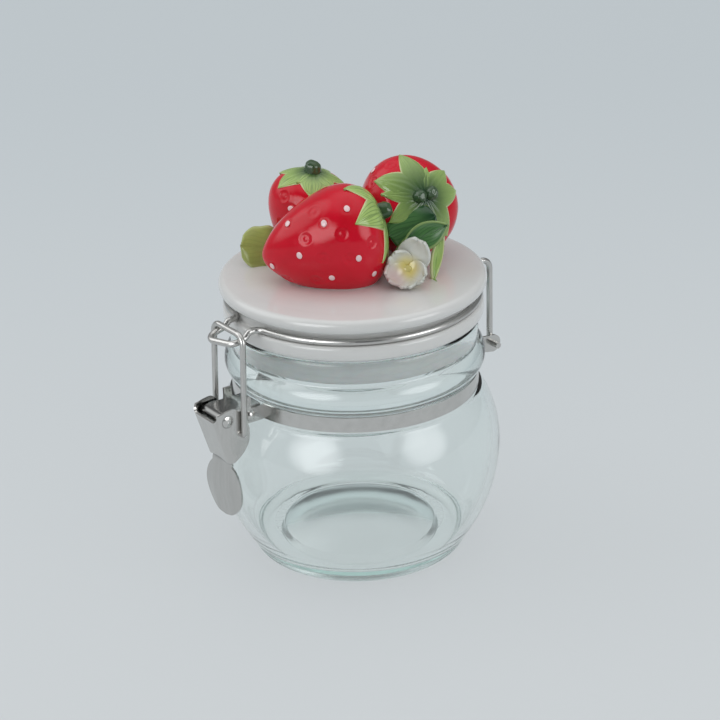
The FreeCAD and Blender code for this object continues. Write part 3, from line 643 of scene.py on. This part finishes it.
EVEN_GRAIN = (300, 300, 300)
UPRIGHT_GRAIN = (900, 900, 60)


def steel_colour(share=1.0):
    return [share * c for c in bpy.context.scene.clasp_settings.steel]


def sheet_steel():
    return steel_material("satin sheet steel", steel_colour(), 0.22, 0.10, EVEN_GRAIN)


def wire_steel():
    return steel_material("bright drawn wire", steel_colour(0.94), 0.30, 0.10, EVEN_GRAIN)


def lever_steel():
    """Sheet steel with painted shade inside the channel and close round the pin's head."""
    def shade(tree, colour):
        # painted shade: dark grey inside the channel and in a ring round the pin's head
        inside = ball_mask(tree, (-0.0020, -0.0604, 0.0724), 0.0070, 0.0077)
        around = ball_mask(tree, PIN_HEAD, 0.0021, 0.0027)
        painted_shade = arithmetic(tree, "MAXIMUM", inside, arithmetic(tree, "MULTIPLY", around, 0.8))
        return mix_colour(tree, painted_shade, colour, (0.24, 0.24, 0.235))

    return steel_material("lever sheet steel", steel_colour(), 0.22, 0.20, UPRIGHT_GRAIN, shade)


def tab_steel():
    """Sheet steel with a line of painted shade where the tab goes in under the channel."""
    def shade(tree, colour):
        # painted shade: a dark line just under the channel's lower edge
        painted_shade = fade(tree, height_of(tree), 0.0508, 0.0530, 0, 0.85)
        return mix_colour(tree, painted_shade, colour, (0.16, 0.165, 0.17))

    return steel_material("tab sheet steel", steel_colour(0.93), 0.20, 0.12, UPRIGHT_GRAIN, shade)


class JAR_OT_steel(Operator):
    """Gives the neck band, brackets, pins and wires their steel"""
    bl_idname = "jar.steel"
    bl_label = "Steel finish"

    def execute(self, context):
        for node in ("neck_band", "hinge_bracket", "ear_rivet", "pivot_pin"):
            dress(node, sheet_steel())
        # the pivot bracket wears the lever's steel, with its painted shade inside the channel
        dress("pivot_bracket", lever_steel())
        for node in ("link", "lid_wire"):
            dress(node, wire_steel())
        return {"FINISHED"}


# the lower and the upper edge of the lever's cheeks, as (Y, Z) in mm from the fold to the back
CHEEK_FOOT = (
    (-60.4, 52.9), (-58.6, 54.0), (-57.0, 55.3), (-55.5, 57.0), (-54.3, 59.0), (-53.6, 61.2))
CHEEK_CREST = (
    (-65.9, 73.2), (-63.0, 73.9), (-59.6, 74.0), (-57.0, 71.6), (-54.9, 68.8), (-53.6, 64.9))


class JAR_OT_lever(Operator):
    """Folds the lever from one sheet: two cheeks, a rounded web and an oval thumb tab"""
    bl_idname = "jar.lever"
    bl_label = "Lever"

    def execute(self, context):
        s = context.scene.clasp_settings
        self.channel(s)
        self.tab(s)
        return {"FINISHED"}

    def channel(self, s):
        """The web with its folds, and the cheeks beside it."""
        flat, quarter, deep = LEVER_HALF - s.fold, s.fold * math.pi / 2, 0.0125
        bm = bmesh.new()
        grid = bmesh.ops.create_grid(bm, x_segments=72, y_segments=44, size=1.0)
        for v in grid["verts"]:
            side = 1 if v.co.x > 0 else -1
            run = abs(v.co.x) * (flat + quarter + deep)
            up = (v.co.y + 1) / 2
            if run < flat + quarter:
                angle = max(run - flat, 0.0) / s.fold
                back = s.fold * (1 - math.cos(angle))
                x = min(run, flat) + s.fold * math.sin(angle)
                low = WEB_LOW + 0.1 * back + 0.0009 * max(1 - (run / flat) ** 2, 0.0)
                high = WEB_HIGH + 1.32 * back
                z = low + up * (high - low)
                y = WEB_FRONT + 0.31 * (WEB_HIGH - z) + back
            else:
                x = LEVER_HALF
                f = (run - flat - quarter) / deep
                low, high = self.along(CHEEK_FOOT, f), self.along(CHEEK_CREST, f)
                y, z = low.lerp(high, up)
            v.co = Vector((side * x, y, z))
        self.thicken(bm, s.sheet)
        finished(bm, "lever_channel", "lever", lever_steel(), ["lever"], sharp=50)

    def thicken(self, bm, sheet):
        """Gives a sheet its thickness on the side away from the thumb."""
        bmesh.ops.recalc_face_normals(bm, faces=bm.faces[:])
        bm.faces.ensure_lookup_table()
        middle = min(bm.faces, key=lambda f: (abs(f.calc_center_median().x), f.index))
        if middle.normal.y > 0:
            bmesh.ops.reverse_faces(bm, faces=bm.faces[:])
        bmesh.ops.solidify(bm, geom=bm.faces[:], thickness=sheet)

    def along(self, places, f):
        """A smooth way through a few places in millimetres."""
        return smooth_way(*passing(places, f, MM))

    def tab(self, s):
        """The thumb tab: a neck that widens to an oval, bent outwards and a little twisted."""
        top_z, low_z, neck_half, oval_half = 0.0550, 0.0286, 0.0060, 0.0101
        bm = bmesh.new()
        grid = bmesh.ops.create_grid(bm, x_segments=40, y_segments=52, size=1.0)
        for v in grid["verts"]:
            across, down = v.co.x, (1 - v.co.y) / 2
            z = top_z + (low_z - top_z) * down
            neck = neck_half * (1 - smooth_step(0.16, 0.40, down))
            oval = oval_half * math.sqrt(max(1 - ((down - 0.56) / 0.44) ** 2, 0.0))
            x = across * max(neck, oval)
            flank = 0.22 * max(abs(x) - 0.0044, 0.0)
            twist = 0.10 * x * smooth_step(0.05, 0.25, down)
            out = 0.0014 * smooth_step(0.05, 0.60, down) + 0.0007 * math.sin(math.pi * down)
            y = -0.0615 + 0.0020 * down - out + flank + twist
            v.co = Vector((x, y, z))
        self.thicken(bm, s.sheet)
        finished(bm, "lever_tab", "lever", tab_steel(), ["lever"], sharp=60)


# ------------------------------------------------------------------ ceramic lid

def lid_glaze():
    """White glaze with pink stains beside the fruit."""
    lid = bpy.context.scene.lid_settings

    def blush(tree, colour):
        spots = (
            (on_lid(-8, -25, 0), 0.002, 0.013, 0.20),
            (on_lid(10, -27, 0), 0.003, 0.014, 0.18),
            (on_lid(-22, -22, 0), 0.002, 0.013, 0.18),
            (on_lid(27, -17, 0), 0.003, 0.014, 0.30),
            (on_lid(36, -4, 0), 0.005, 0.015, 0.12),
        )
        for centre, inner, outer, strength in spots:
            mask = arithmetic(tree, "MULTIPLY", ball_mask(tree, centre, inner, outer), strength)
            colour = mix_colour(tree, mask, colour, lid.blush)
        return colour

    pooled = [0.93 * c for c in lid.glaze]
    return glaze_material("white lid glaze", lid.glaze, pooled, 0.5, 40.0, blush)


class JAR_OT_lid_plate(Operator):
    """Spins the white plate of the lid with its wire groove and tapered plug"""
    bl_idname = "jar.lid_plate"
    bl_label = "Lid plate"

    def execute(self, context):
        s = context.scene.lid_settings
        bottom, low, groove_low, groove_top, top = 0.0900, 0.0944, 0.1004, 0.1052, LID_TOP
        plug, flange, groove, edge = 0.0402, 0.0488, 0.0459, 0.0500
        bm = bmesh.new()
        draw_profile(bm, [
            (0, bottom),
            (0.0345, bottom, 0.0012, "right"),
            (0.0356, bottom + 0.0006),
            (plug - 0.0006, low - 0.0004, 0.0006, "left"),
            (plug, low),
            (flange - 0.0016, low, 0.0016, "right"),
            (flange, low + 0.0016),
            (flange, groove_low - 0.0014, 0.0014, "right"),
            (flange - 0.0014, groove_low),
            (groove + 0.0006, groove_low, 0.0006, "left"),
            (groove, groove_low + 0.0006),
            (groove, groove_top - 0.0006, 0.0006, "left"),
            (groove + 0.0006, groove_top),
            (edge - 0.0021, groove_top, 0.0024, "right"),
            (edge, groove_top + 0.0021),
            (edge, top - s.edge_round, s.edge_round, "right"),
            (edge - s.edge_round, top),
            (0.0420, top + 0.0001, 0.40, "right"),
            (0, top + 0.0008),
        ])
        spin_round(bm, context.scene.jar_settings.turns)
        lid_piece(bm, "lid_plate", lid_glaze())
        return {"FINISHED"}


# how far along its axis and how wide a strawberry is, from the tip to the crown
BERRY_PROFILE = (
    (0.0, 0.0), (0.045, 0.25), (0.18, 0.56), (0.38, 0.83),
    (0.62, 1.0), (0.81, 0.95), (0.94, 0.66), (1.0, 0.0),
)
CURVE_STEPS = 72


def berry_curve(s):
    """Axis share and radius share at s, from 0 at the tip to 1 at the crown."""
    p, f = passing(BERRY_PROFILE, s)
    if p[0] == p[1]:
        p[0] = Vector((p[2].x, -p[2].y))
    if p[3] == p[2]:
        p[3] = Vector((p[1].x, -p[1].y))
    return smooth_way(p, f)


class Berry:
    """Where a strawberry is and how big: a place on it is given by s and a turn about its axis."""

    def __init__(self, name, tip, axis, radius, length, lean, seeds, sepals):
        self.name = name
        self.radius = radius * MM
        self.length = length * MM
        self.seeds = seeds
        self.sepals = sepals
        self.middle = 0.62
        self.crown = Vector((*lean, 1)).normalized()
        self.slopes = [self.slope(i / CURVE_STEPS) for i in range(CURVE_STEPS + 1)]
        z = axis.normalized()
        x = Vector((0, 0, 1)).cross(z).cross(z) * -1
        x.normalize()
        y = z.cross(x)
        self.place = Matrix.Translation(tip) @ Matrix((x, y, z)).transposed().to_4x4()

    def local(self, s, turn):
        """A place on the flesh in the berry's own frame."""
        t, r = berry_curve(s)
        reach = r * self.radius
        reach *= 1 + 0.03 * math.sin(2 * turn + 0.7) + 0.02 * math.sin(3 * turn)
        return Vector((math.cos(turn) * reach, math.sin(turn) * reach, t * self.length))

    def slope(self, s):
        """Angle at the middle between the axis and the flesh at s."""
        t, r = berry_curve(s)
        return math.atan2(r * self.radius, (t - self.middle) * self.length)

    def from_crown(self, angle, turn):
        """The place that lies angle away from the leaning crown, as s and a turn about the axis."""
        first = (Vector((1, 0, 0)) - self.crown * self.crown.x).normalized()
        second = self.crown.cross(first)
        side = first * math.cos(turn) + second * math.sin(turn)
        aim = self.crown * math.cos(angle) + side * math.sin(angle)
        wanted = math.acos(min(max(aim.z, -1.0), 1.0))
        i = next((k for k in range(1, CURVE_STEPS) if self.slopes[k] <= wanted), CURVE_STEPS)
        above, below = self.slopes[i - 1], self.slopes[i]
        share = (above - wanted) / max(above - below, 1e-6)
        s = (i - 1 + min(max(share, 0.0), 1.0)) / CURVE_STEPS
        return min(s, 0.995), math.atan2(aim.y, aim.x)

    def normal(self, s, turn):
        """The way out of the flesh at a place."""
        e = 0.004
        s = min(max(s, e), 1 - e)
        up = self.local(s + e, turn) - self.local(s - e, turn)
        round_ = self.local(s, turn + e) - self.local(s, turn - e)
        return round_.cross(up).normalized()


def berries():
    """The three strawberries.

    A seed is (s, turn in degrees, painted or a pit); a sepal is (turn about the crown in degrees,
    how far its tip is from the crown in degrees, half width in mm)."""
    front = Berry(
        "front_berry", on_lid(-32.5, -13.0, 11.0), direction(45.0, 6.0, 8.0),
        19.9, 46.0, (0.30, -0.06),
        [(0.64, 40, True), (0.51, 48, True), (0.36, 78, True), (0.16, 112, True),
         (0.49, 115, True), (0.64, 94, True), (0.72, 124, True), (0.34, 24, True),
         (0.41, 58, False), (0.47, 86, False), (0.59, 92, False), (0.75, 82, False),
         (0.58, 64, False), (0.42, 120, False), (0.26, 140, False), (0.48, 30, False)],
        [(255, 58, 5.5), (200, 58, 5.5), (160, 56, 4.5), (310, 58, 6.0),
         (14, 60, 6.6), (124, 64, 4.4), (64, 68, 6.4)])
    left = Berry(
        "left_berry", on_lid(-19.0, 19.0, -4.0), direction(5.0, -4.0, 36.0),
        14.5, 38.0, (0.0, 0.0),
        [(0.66, 99, True), (0.73, 80, False), (0.69, 122, False), (0.52, 84, False),
         (0.56, 112, True)],
        [(95, 36, 3.4), (275, 50, 4.6), (320, 52, 4.8), (10, 52, 4.8),
         (225, 50, 4.4), (180, 44, 4.4), (62, 55, 5.6), (128, 52, 5.6)])
    right = Berry(
        "right_berry", on_lid(9.8, 32.1, 9.7), direction(18.5, -29.1, 15.9),
        18.5, 38.0, (0.08, 0.04),
        [(0.60, 36, True), (0.74, 25, False), (0.50, 330, True), (0.62, 318, False),
         (0.66, 52, False)],
        [(265, 62, 7.0), (160, 60, 6.5), (112, 60, 6.0), (212, 64, 7.2),
         (302, 60, 6.6), (74, 58, 4.2), (340, 44, 4.6), (50, 68, 6.4), (4, 66, 6.2)])
    return [front, left, right]


# heights of the white band at each berry's foot, partly glaze and partly a painted reflection of
# the lid
FOOT_LOW, FOOT_HIGH = LID_TOP + 0.0009, LID_TOP + 0.0017


def berry_glaze():
    """Red glaze that turns white just above the lid: partly the white glaze at the berry's foot,
    partly a painted reflection of the white lid.
    """
    lid = bpy.context.scene.lid_settings

    def foot(tree, colour):
        # white band just above the lid: glaze and a painted reflection of the lid
        edge = fade(tree, height_of(tree), FOOT_LOW, FOOT_HIGH, 1, 0)
        return mix_colour(tree, edge, colour, (0.66, 0.61, 0.59))

    deep = (0.78 * lid.berry[0], 0.5 * lid.berry[1], 0.5 * lid.berry[2])
    return glaze_material("red berry glaze", lid.berry, deep, 0.55, 70.0, foot, 0.0, 0.36)


def seed_places(berry):
    """The berry's own seeds, and rows of them on the side turned away from the clasp."""
    places = [(s, math.radians(turn), painted) for s, turn, painted in berry.seeds]
    for row, s in enumerate((0.26, 0.40, 0.54, 0.68)):
        for turn in (175, 225, 275):
            turn = math.radians(turn + 24 * (row % 2) + 6 * math.sin(7 * turn + row))
            places.append((s + 0.02 * math.sin(5 * turn), turn, row % 2 == 0))
    return places


class JAR_OT_berries(Operator):
    """Shapes the strawberries with their seed pits and paints the white seed dots"""
    bl_idname = "jar.berries"
    bl_label = "Strawberries"

    def execute(self, context):
        for berry in berries():
            self.flesh(berry)
        self.dots(berries())
        return {"FINISHED"}

    def flesh(self, berry):
        """The red body with its seed pits, and a moat round each painted seed."""
        bm = bmesh.new()
        bmesh.ops.create_uvsphere(bm, u_segments=224, v_segments=150, radius=1.0)
        for v in bm.verts:
            s = math.acos(min(max(-v.co.z, -1.0), 1.0)) / math.pi
            v.co = berry.local(s, math.atan2(v.co.y, v.co.x))
        bm.verts.ensure_lookup_table()
        tree = kdtree.KDTree(len(bm.verts))
        for v in bm.verts:
            tree.insert(v.co, v.index)
        tree.balance()
        for s, turn, painted in seed_places(berry):
            centre, out = berry.local(s, turn), berry.normal(s, turn)
            for co, index, distance in tree.find_range(centre, 0.0040):
                bm.verts[index].co += out * self.relief(distance / MM, painted) * MM
        bmesh.ops.transform(bm, matrix=berry.place, verts=bm.verts[:])
        lid_piece(bm, berry.name, berry_glaze())

    def relief(self, d, painted):
        """How far the flesh stands out, in mm, d mm from the middle of a seed."""
        if painted:
            moat = -0.22 * math.exp(-((d - 1.45) / 0.40) ** 2)
            return moat + 0.12 * math.exp(-(d / 1.1) ** 4)
        pit = -0.45 * math.exp(-(d / 1.95) ** 4) + 0.40 * math.exp(-d ** 2)
        return pit + 0.10 * math.exp(-((d - 2.6) / 0.5) ** 2)

    def dots(self, fruit):
        """The painted seeds of all the fruit, as one piece."""
        bm = bmesh.new()
        for berry in fruit:
            for s, turn, painted in seed_places(berry):
                if painted:
                    out = berry.normal(s, turn)
                    along = berry.local(min(s + 0.02, 1), turn) - berry.local(s, turn)
                    place = berry.place @ basis(berry.local(s, turn) + out * 0.00008, along, out)
                    shape = place @ Matrix.Diagonal((0.00112, 0.00135, 0.00022, 1))
                    bmesh.ops.create_icosphere(bm, subdivisions=2, radius=1.0, matrix=shape)
        paint = glaze_material("seed dot paint", (0.82, 0.60, 0.60), (0.74, 0.44, 0.46), 0.4, 500.0)
        lid_piece(bm, "seed_dots", paint)


def leaf_glaze(name, light, dark, spread, edge=(0.62, 0.63, 0.34), veined=0.42):
    """Green glaze with the veins, the dark root and the pale edge of a leaf."""
    if name in bpy.data.materials:
        return bpy.data.materials[name]

    def veins(tree, colour):
        inputs = {
            "Colour": colour, "Vein colour": dark, "Edge colour": edge,
            "Root spread": spread, "Veining": veined,
        }
        return add_node(tree, "Group", inputs, node_tree=vein_group()).outputs["Colour"]

    pale = [min(1.0, 1.25 * c) for c in light]
    return glaze_material(name, light, pale, 0.6, 160.0, veins)


class JAR_OT_sepals(Operator):
    """Lays the green sepals over each crown and sets the stalks"""
    bl_idname = "jar.sepals"
    bl_label = "Sepals and stalks"

    def execute(self, context):
        lid = context.scene.lid_settings
        light, dark = tuple(lid.leaf), tuple(lid.leaf_dark)
        root_spread = {"front_berry": 0.60, "left_berry": 0.80, "right_berry": 1.15}
        for berry in berries():
            name = berry.name.replace("_", " ") + " sepal glaze"
            green = leaf_glaze(name, light, dark, root_spread[berry.name])
            bm = bmesh.new()
            for turn, tip, width in berry.sepals:
                self.sepal(bm, berry, math.radians(turn), tip, width * MM)
            lid_piece(bm, berry.name + "_sepals", green)
        stalk = glaze_material("stalk glaze", (0.045, 0.085, 0.035), (0.02, 0.06, 0.03), 0.6, 200.0)
        front, left, right = berries()
        self.stalks(front, stalk, [(0.6, 0.0, 3.2)])
        self.stalks(left, stalk, [(0.0, -0.4, 3.1)])
        self.stalks(right, stalk, [(0.6, 2.6, 2.5), (0.8, -2.4, 2.6)])
        return {"FINISHED"}

    def sepal(self, bm, berry, turn, tip, width):
        """One sepal that lies on the flesh, from near the crown to its tip."""
        start, reach, widest = 0.04, math.radians(tip), 0.42

        def shape(a, b, length, half):
            angle = start + a * (reach - start)
            if a < widest:
                outline = half * (0.55 + 0.45 * smooth_step(0.0, widest, a))
            else:
                taper = (a - widest) / (1 - widest)
                outline = half * max(1 - taper ** 1.35, 0.0) + 0.00008
            share = outline / (0.9 * berry.radius * math.sin(angle))
            around = turn + b * min(share, 0.75) + 0.10 * math.sin(3 * turn) * a
            s, spin = berry.from_crown(angle, around)
            crown = 1 - abs(b) ** 2.4
            side_vein = abs(b) - 0.5 * (1 - 0.5 * a)
            vein = math.exp(-(b / 0.09) ** 2) + 0.6 * math.exp(-(side_vein / 0.09) ** 2)
            relief = (0.0002 + 0.0007 * crown) * (1 - 0.5 * a)
            relief -= 0.00022 * vein * smooth_step(1.0, 0.75, a)
            curl = 0.0002 * smooth_step(0.75, 1.0, a) * (1 + math.sin(5 * turn))
            return berry.local(s, spin) + berry.normal(s, spin) * (relief + curl)

        blade(bm, berry.place, 1.0, width, shape, along=24, across=22, thickness=0.0009)

    def stalks(self, berry, material, knobs):
        """Short round stalk stubs with a dimpled end, on a flared foot."""
        bm = bmesh.new()
        s, spin = berry.from_crown(0.0, 0.0)
        root = berry.local(s, spin)
        for x, y, radius in knobs:
            made = bmesh.ops.create_uvsphere(bm, u_segments=36, v_segments=24, radius=1.0)["verts"]
            for v in made:
                up = v.co.z
                flare = 1 + 0.55 * max(-up, 0.0) ** 2
                dimple = 0.16 * math.exp(-((v.co.x ** 2 + v.co.y ** 2) / 0.16)) if up > 0 else 0.0
                uneven = 1 + 0.12 * noise.noise(v.co * 1.7 + Vector((x, y, radius)))
                v.co = Vector((v.co.x * flare, v.co.y * flare, up - dimple)) * uneven
            scale = Matrix.Diagonal((radius * MM, radius * MM, radius * 1.05 * MM, 1))
            middle = root + berry.crown * (0.58 * radius + 0.2) * MM
            stub = basis(middle, Vector((1, 0, 0)), berry.crown)
            place = stub @ Matrix.Translation((x * MM, y * MM, -0.4 * MM))
            bmesh.ops.transform(bm, matrix=berry.place @ place @ scale, verts=made)
        lid_piece(bm, berry.name + "_stalk", material)


class JAR_OT_leaves(Operator):
    """Shapes the leaves that stand on the lid beside the fruit"""
    bl_idname = "jar.leaves"
    bl_label = "Leaves"

    def execute(self, context):
        lid = context.scene.lid_settings
        olive = leaf_glaze(
            "olive leaf glaze", (0.30, 0.34, 0.09), (0.13, 0.16, 0.045), 0.55,
            (0.42, 0.48, 0.18), 0.12)
        dark = leaf_glaze(
            "dark leaf glaze", (0.07, 0.17, 0.055), lid.leaf_dark, 0.5, (0.26, 0.36, 0.12))
        light = leaf_glaze("light leaf glaze", lid.leaf, (0.12, 0.24, 0.06), 0.2)
        # root, way, facing, length and half width, all in mm
        leaves = (
            ("left_leaf", olive, self.round_leaf,
             (-24.5, 8.0, 6.2), (-17.0, 0.0, 1.5), (0, -1, 0.45), 17.0, 7.2),
            ("right_leaf", dark, self.pointed_leaf,
             (20.0, -11.5, 13.6), (16.0, 4.0, 6.2), (0.2, -1, 0.55), 17.0, 4.8),
            ("right_leaf_blade", light, self.pointed_leaf,
             (33.0, -9.5, 17.0), (-3.8, -1.5, -15.0), (0.5, -1, 0.1), 18.4, 2.2),
            ("tucked_leaf", dark, self.round_leaf,
             (31.0, -1.0, 21.0), (-16.0, -3.5, -6.0), (-0.1, -1, 0.45), 18.5, 7.0),
        )
        for name, green, shape, root, along, facing, length, half in leaves:
            bm = bmesh.new()
            place = basis(on_lid(*root), direction(*along), direction(*facing))
            blade(bm, place, length * MM, half * MM, shape, along=30, across=22)
            lid_piece(bm, name, green)
        self.mound(dark)
        return {"FINISHED"}

    def mound(self, green):
        """The lump of clay behind the blossom that carries the right leaf."""
        upright = basis(on_lid(20.5, -9.0, 6.0), direction(1, 0, 0), direction(0, 0, 1))
        bm = lump(upright, (0.0050, 0.0042, 0.0090), 28, 0.12, 2.3)
        lid_piece(bm, "leaf_mound", green)

    def round_leaf(self, a, b, length, half):
        """An oval leaf with a lobed edge."""
        lobes = 1 + 0.035 * math.sin(17 * a + 1.0)
        outline = half * lobes * math.sqrt(max(1 - (2 * a - 1) ** 2, 0.0)) ** 0.8 + 0.0010
        wave = 0.0005 * math.sin(9 * a + 1.0) * b - 0.0003 * math.exp(-(b / 0.08) ** 2)
        return Vector((a * length, b * outline, 0.0014 * (1 - b * b) + wave))

    def pointed_leaf(self, a, b, length, half):
        """A slender leaf that bends up towards its tip."""
        outline = half * math.sin(math.pi * min(0.1 + 0.9 * a, 1.0)) ** 0.8 + 0.0001
        vein = 0.0004 * math.exp(-(b / 0.10) ** 2)
        rise = 0.0022 * a * a - 0.0010 * (1 - b * b) - vein
        return Vector((a * length, b * (outline + 0.0003), rise))


# where a petal points, in degrees from the right, its length and half width in mm
PETALS = ((205, 8.6, 5.2), (330, 7.4, 4.8), (268, 7.6, 4.8), (135, 7.8, 5.0), (62, 11.4, 6.4))


class JAR_OT_blossom(Operator):
    """Shapes the white blossom: five cupped petals about a yellow heart"""
    bl_idname = "jar.blossom"
    bl_label = "Blossom"

    def execute(self, context):
        centre = on_lid(20.0, -17.0, 6.6)
        facing = direction(-0.12, -1.0, 0.45).normalized()
        across = direction(1, 0, 0)
        upright = facing.cross(across).normalized()
        if upright.z < 0:
            upright = -upright
        bm = bmesh.new()
        for step, (turn, length, half) in enumerate(PETALS):
            angle = math.radians(turn)
            along = across.normalized() * math.cos(angle) + upright * math.sin(angle)
            place = basis(centre - facing * 0.0004 * step, along, facing)
            blade(bm, place, length * MM, half * MM, self.petal, 26, 22, 0.0011)

        def tinge(tree, colour):
            yellow = ball_mask(tree, centre + facing * 0.001, 0.0015, 0.0068)
            colour = mix_colour(tree, yellow, colour, (0.66, 0.56, 0.18))
            pink = ball_mask(tree, on_lid(13, -21, 3), 0.003, 0.009)
            return mix_colour(tree, pink, colour, (0.58, 0.44, 0.42))

        white = glaze_material(
            "blossom glaze", (0.64, 0.65, 0.60), (0.52, 0.53, 0.45), 0.6, 200.0, tinge)
        lid_piece(bm, "blossom_petals", white)
        heart = basis(centre + facing * 0.0008, facing.cross(upright), facing)
        bm = lump(heart, (0.0017, 0.0013, 0.0007), 26, 0.06, 4.3)
        yellow = glaze_material(
            "blossom heart glaze", (0.62, 0.54, 0.20), (0.52, 0.44, 0.14), 0.7, 500.0)
        lid_piece(bm, "blossom_heart", yellow)
        return {"FINISHED"}

    def petal(self, a, b, length, half):
        """A broad petal that cups forward."""
        outline = half * math.sin(math.pi * min(0.10 + 0.86 * a, 1.0)) ** 0.55
        cup = 0.0052 * a * a + 0.0016 * b * b * a + 0.0003 * math.sin(6 * b + 3) * a
        return Vector((a * length, b * outline, cup))


# ------------------------------------------------------------------ stage

class JAR_OT_stage(Operator):
    """Sets the pale floor, the soft lamps, the world and the camera"""
    bl_idname = "jar.stage"
    bl_label = "Stage"

    def execute(self, context):
        self.floor()
        self.world(context.scene)
        for lamp in LAMPS:
            self.lamp(*lamp)
        self.camera(context.scene)
        return {"FINISHED"}

    def floor(self):
        """A floor with painted light that makes it paler towards the front, and partly even so that
        it keeps a soft shadow.
        """
        material, tree, shader = new_material(
            "pale floor", Roughness=0.7, Specular_IOR_Level=0.2)
        away = share_along(tree, place_of(tree), direction(0, 1, 0))
        # painted light: paler towards the front, darker towards the back
        colour = mix_colour(tree, fade(tree, away, -0.20, 0.65, 0, 1), FLOOR_FRONT_PAINTED_LIGHT, BACKDROP)
        give(tree, shader.inputs["Base Color"], colour)
        even = add_node(tree, "Emission", {"Color": colour}).outputs["Emission"]
        path = add_node(tree, "LightPath").outputs
        seen = arithmetic(tree, "MAXIMUM", path["Is Camera Ray"], path["Is Glossy Ray"])
        seen = arithmetic(tree, "MAXIMUM", seen, path["Is Transmission Ray"])
        share = arithmetic(tree, "MULTIPLY", seen, FLOOR_EVEN)
        surface = mix_shader(tree, share, shader.outputs["BSDF"], even)
        give(tree, tree.nodes["Material Output"].inputs["Surface"], surface)
        bm = bmesh.new()
        bmesh.ops.create_circle(bm, cap_ends=True, segments=96, radius=6.0)
        floor = shown(bm, "floor", material)

    def world(self, scene):
        """Even light on the surfaces, soft windows for reflections and plain air behind."""
        world = bpy.data.worlds.new("studio")
        world.use_nodes = True
        tree = world.node_tree
        light = tree.nodes["Background"]
        give(tree, light.inputs["Color"], (0.93, 0.97, 1.0))
        give(tree, light.inputs["Strength"], 0.80)
        light = light.outputs["Background"]
        inputs = {"Color": (0.97, 0.99, 1.0), "Strength": self.windows(tree)}
        mirrored = add_node(tree, "Background", inputs).outputs["Background"]
        air = add_node(tree, "Background", {"Color": BACKDROP}).outputs["Background"]
        path = add_node(tree, "LightPath").outputs
        glossy, depth = path["Is Glossy Ray"], path["Transmission Depth"]
        outside = arithmetic(tree, "LESS_THAN", depth, 0.5)
        within = arithmetic(tree, "GREATER_THAN", depth, 0.5)
        mirror = arithmetic(tree, "MULTIPLY", glossy, outside)
        plain = arithmetic(tree, "MAXIMUM", path["Is Camera Ray"], path["Is Transmission Ray"])
        plain = arithmetic(tree, "MAXIMUM", plain, arithmetic(tree, "MULTIPLY", within, glossy))
        room = mix_shader(tree, mirror, light, mirrored)
        room = mix_shader(tree, plain, room, air)
        give(tree, tree.nodes["World Output"].inputs["Surface"], room)
        scene.world = world
        scene.view_settings.view_transform = "Standard"

    def windows(self, tree):
        """How bright the room is in each direction, for reflections."""
        ways = add_node(tree, "TexCoord").outputs["Generated"]
        total = ROOM_LEVEL
        for towards, wide, narrow, strength in WINDOWS:
            low, high = math.cos(math.radians(wide)), math.cos(math.radians(narrow))
            share = share_along(tree, ways, Vector(towards))
            total = arithmetic(tree, "ADD", total, fade(tree, share, low, high, 0, strength))
        return arithmetic(tree, "MAXIMUM", total, ROOM_DARKEST)

    def lamp(self, name, place, target, side, power):
        """A square soft lamp that shows in no reflection."""
        data = bpy.data.lights.new(name, "AREA")
        data.shape = "SQUARE"
        data.size = side
        data.energy = power
        lamp = bpy.data.objects.new(name, data)
        lamp.visible_glossy = False
        lamp.location = place
        towards = Vector(target) - Vector(place)
        lamp.rotation_euler = towards.to_track_quat("-Z", "Y").to_euler()
        bpy.context.scene.collection.objects.link(lamp)

    def camera(self, scene):
        """A long lens that looks down a little on the show side."""
        data = bpy.data.cameras.new("camera")
        data.lens = 110
        data.sensor_width = 36
        data.clip_start = 0.01
        right = Vector((math.cos(SHOW_SIDE), math.sin(SHOW_SIDE), 0))
        toward = Vector((math.sin(SHOW_SIDE), -math.cos(SHOW_SIDE), 0))
        lift, roll, distance = math.radians(24.05), math.radians(-1.68), 0.8326
        look = right * 0.00186 + Vector((0, 0, 0.0739))
        out = toward * math.cos(lift) + Vector((0, 0, math.sin(lift)))
        turn = (-out).to_track_quat("-Z", "Y").to_matrix().to_4x4()
        camera = bpy.data.objects.new("camera", data)
        place = Matrix.Translation(look + out * distance)
        camera.matrix_world = place @ turn @ Matrix.Rotation(roll, 4, "Z")
        scene.collection.objects.link(camera)
        scene.camera = camera


class JAR_PT_panel(Panel):
    """Lists the pieces of the jar"""
    bl_idname = "JAR_PT_panel"
    bl_label = "Strawberry clamp jar"
    bl_space_type = "VIEW_3D"
    bl_region_type = "UI"
    bl_category = "Jar"

    def draw(self, context):
        for group_name, group in SETTINGS:
            for name in group.__annotations__:
                self.layout.prop(getattr(context.scene, group_name), name)
        for operator in OPERATORS:
            self.layout.operator(operator.bl_idname)


SETTINGS = (
    ("jar_settings", JarSettings),
    ("lid_settings", LidSettings),
    ("clasp_settings", ClaspSettings),
)
OPERATORS = (
    JAR_OT_glass,
    JAR_OT_seal,
    JAR_OT_steel,
    JAR_OT_lever,
    JAR_OT_lid_plate,
    JAR_OT_berries,
    JAR_OT_sepals,
    JAR_OT_leaves,
    JAR_OT_blossom,
    JAR_OT_stage,
)


def register():
    for name, group in SETTINGS:
        bpy.utils.register_class(group)
        setattr(bpy.types.Scene, name, PointerProperty(type=group))
    for operator in OPERATORS:
        bpy.utils.register_class(operator)
    bpy.utils.register_class(JAR_PT_panel)


def unregister():
    bpy.utils.unregister_class(JAR_PT_panel)
    for operator in reversed(OPERATORS):
        bpy.utils.unregister_class(operator)
    for name, group in reversed(SETTINGS):
        delattr(bpy.types.Scene, name)
        bpy.utils.unregister_class(group)


def main():
    register()
    bpy.ops.jar.glass()
    bpy.ops.jar.seal()
    bpy.ops.jar.steel()
    bpy.ops.jar.lever()
    bpy.ops.jar.lid_plate()
    bpy.ops.jar.berries()
    bpy.ops.jar.sepals()
    bpy.ops.jar.leaves()
    bpy.ops.jar.blossom()
    bpy.ops.jar.stage()


if __name__ == "__main__":
    main()
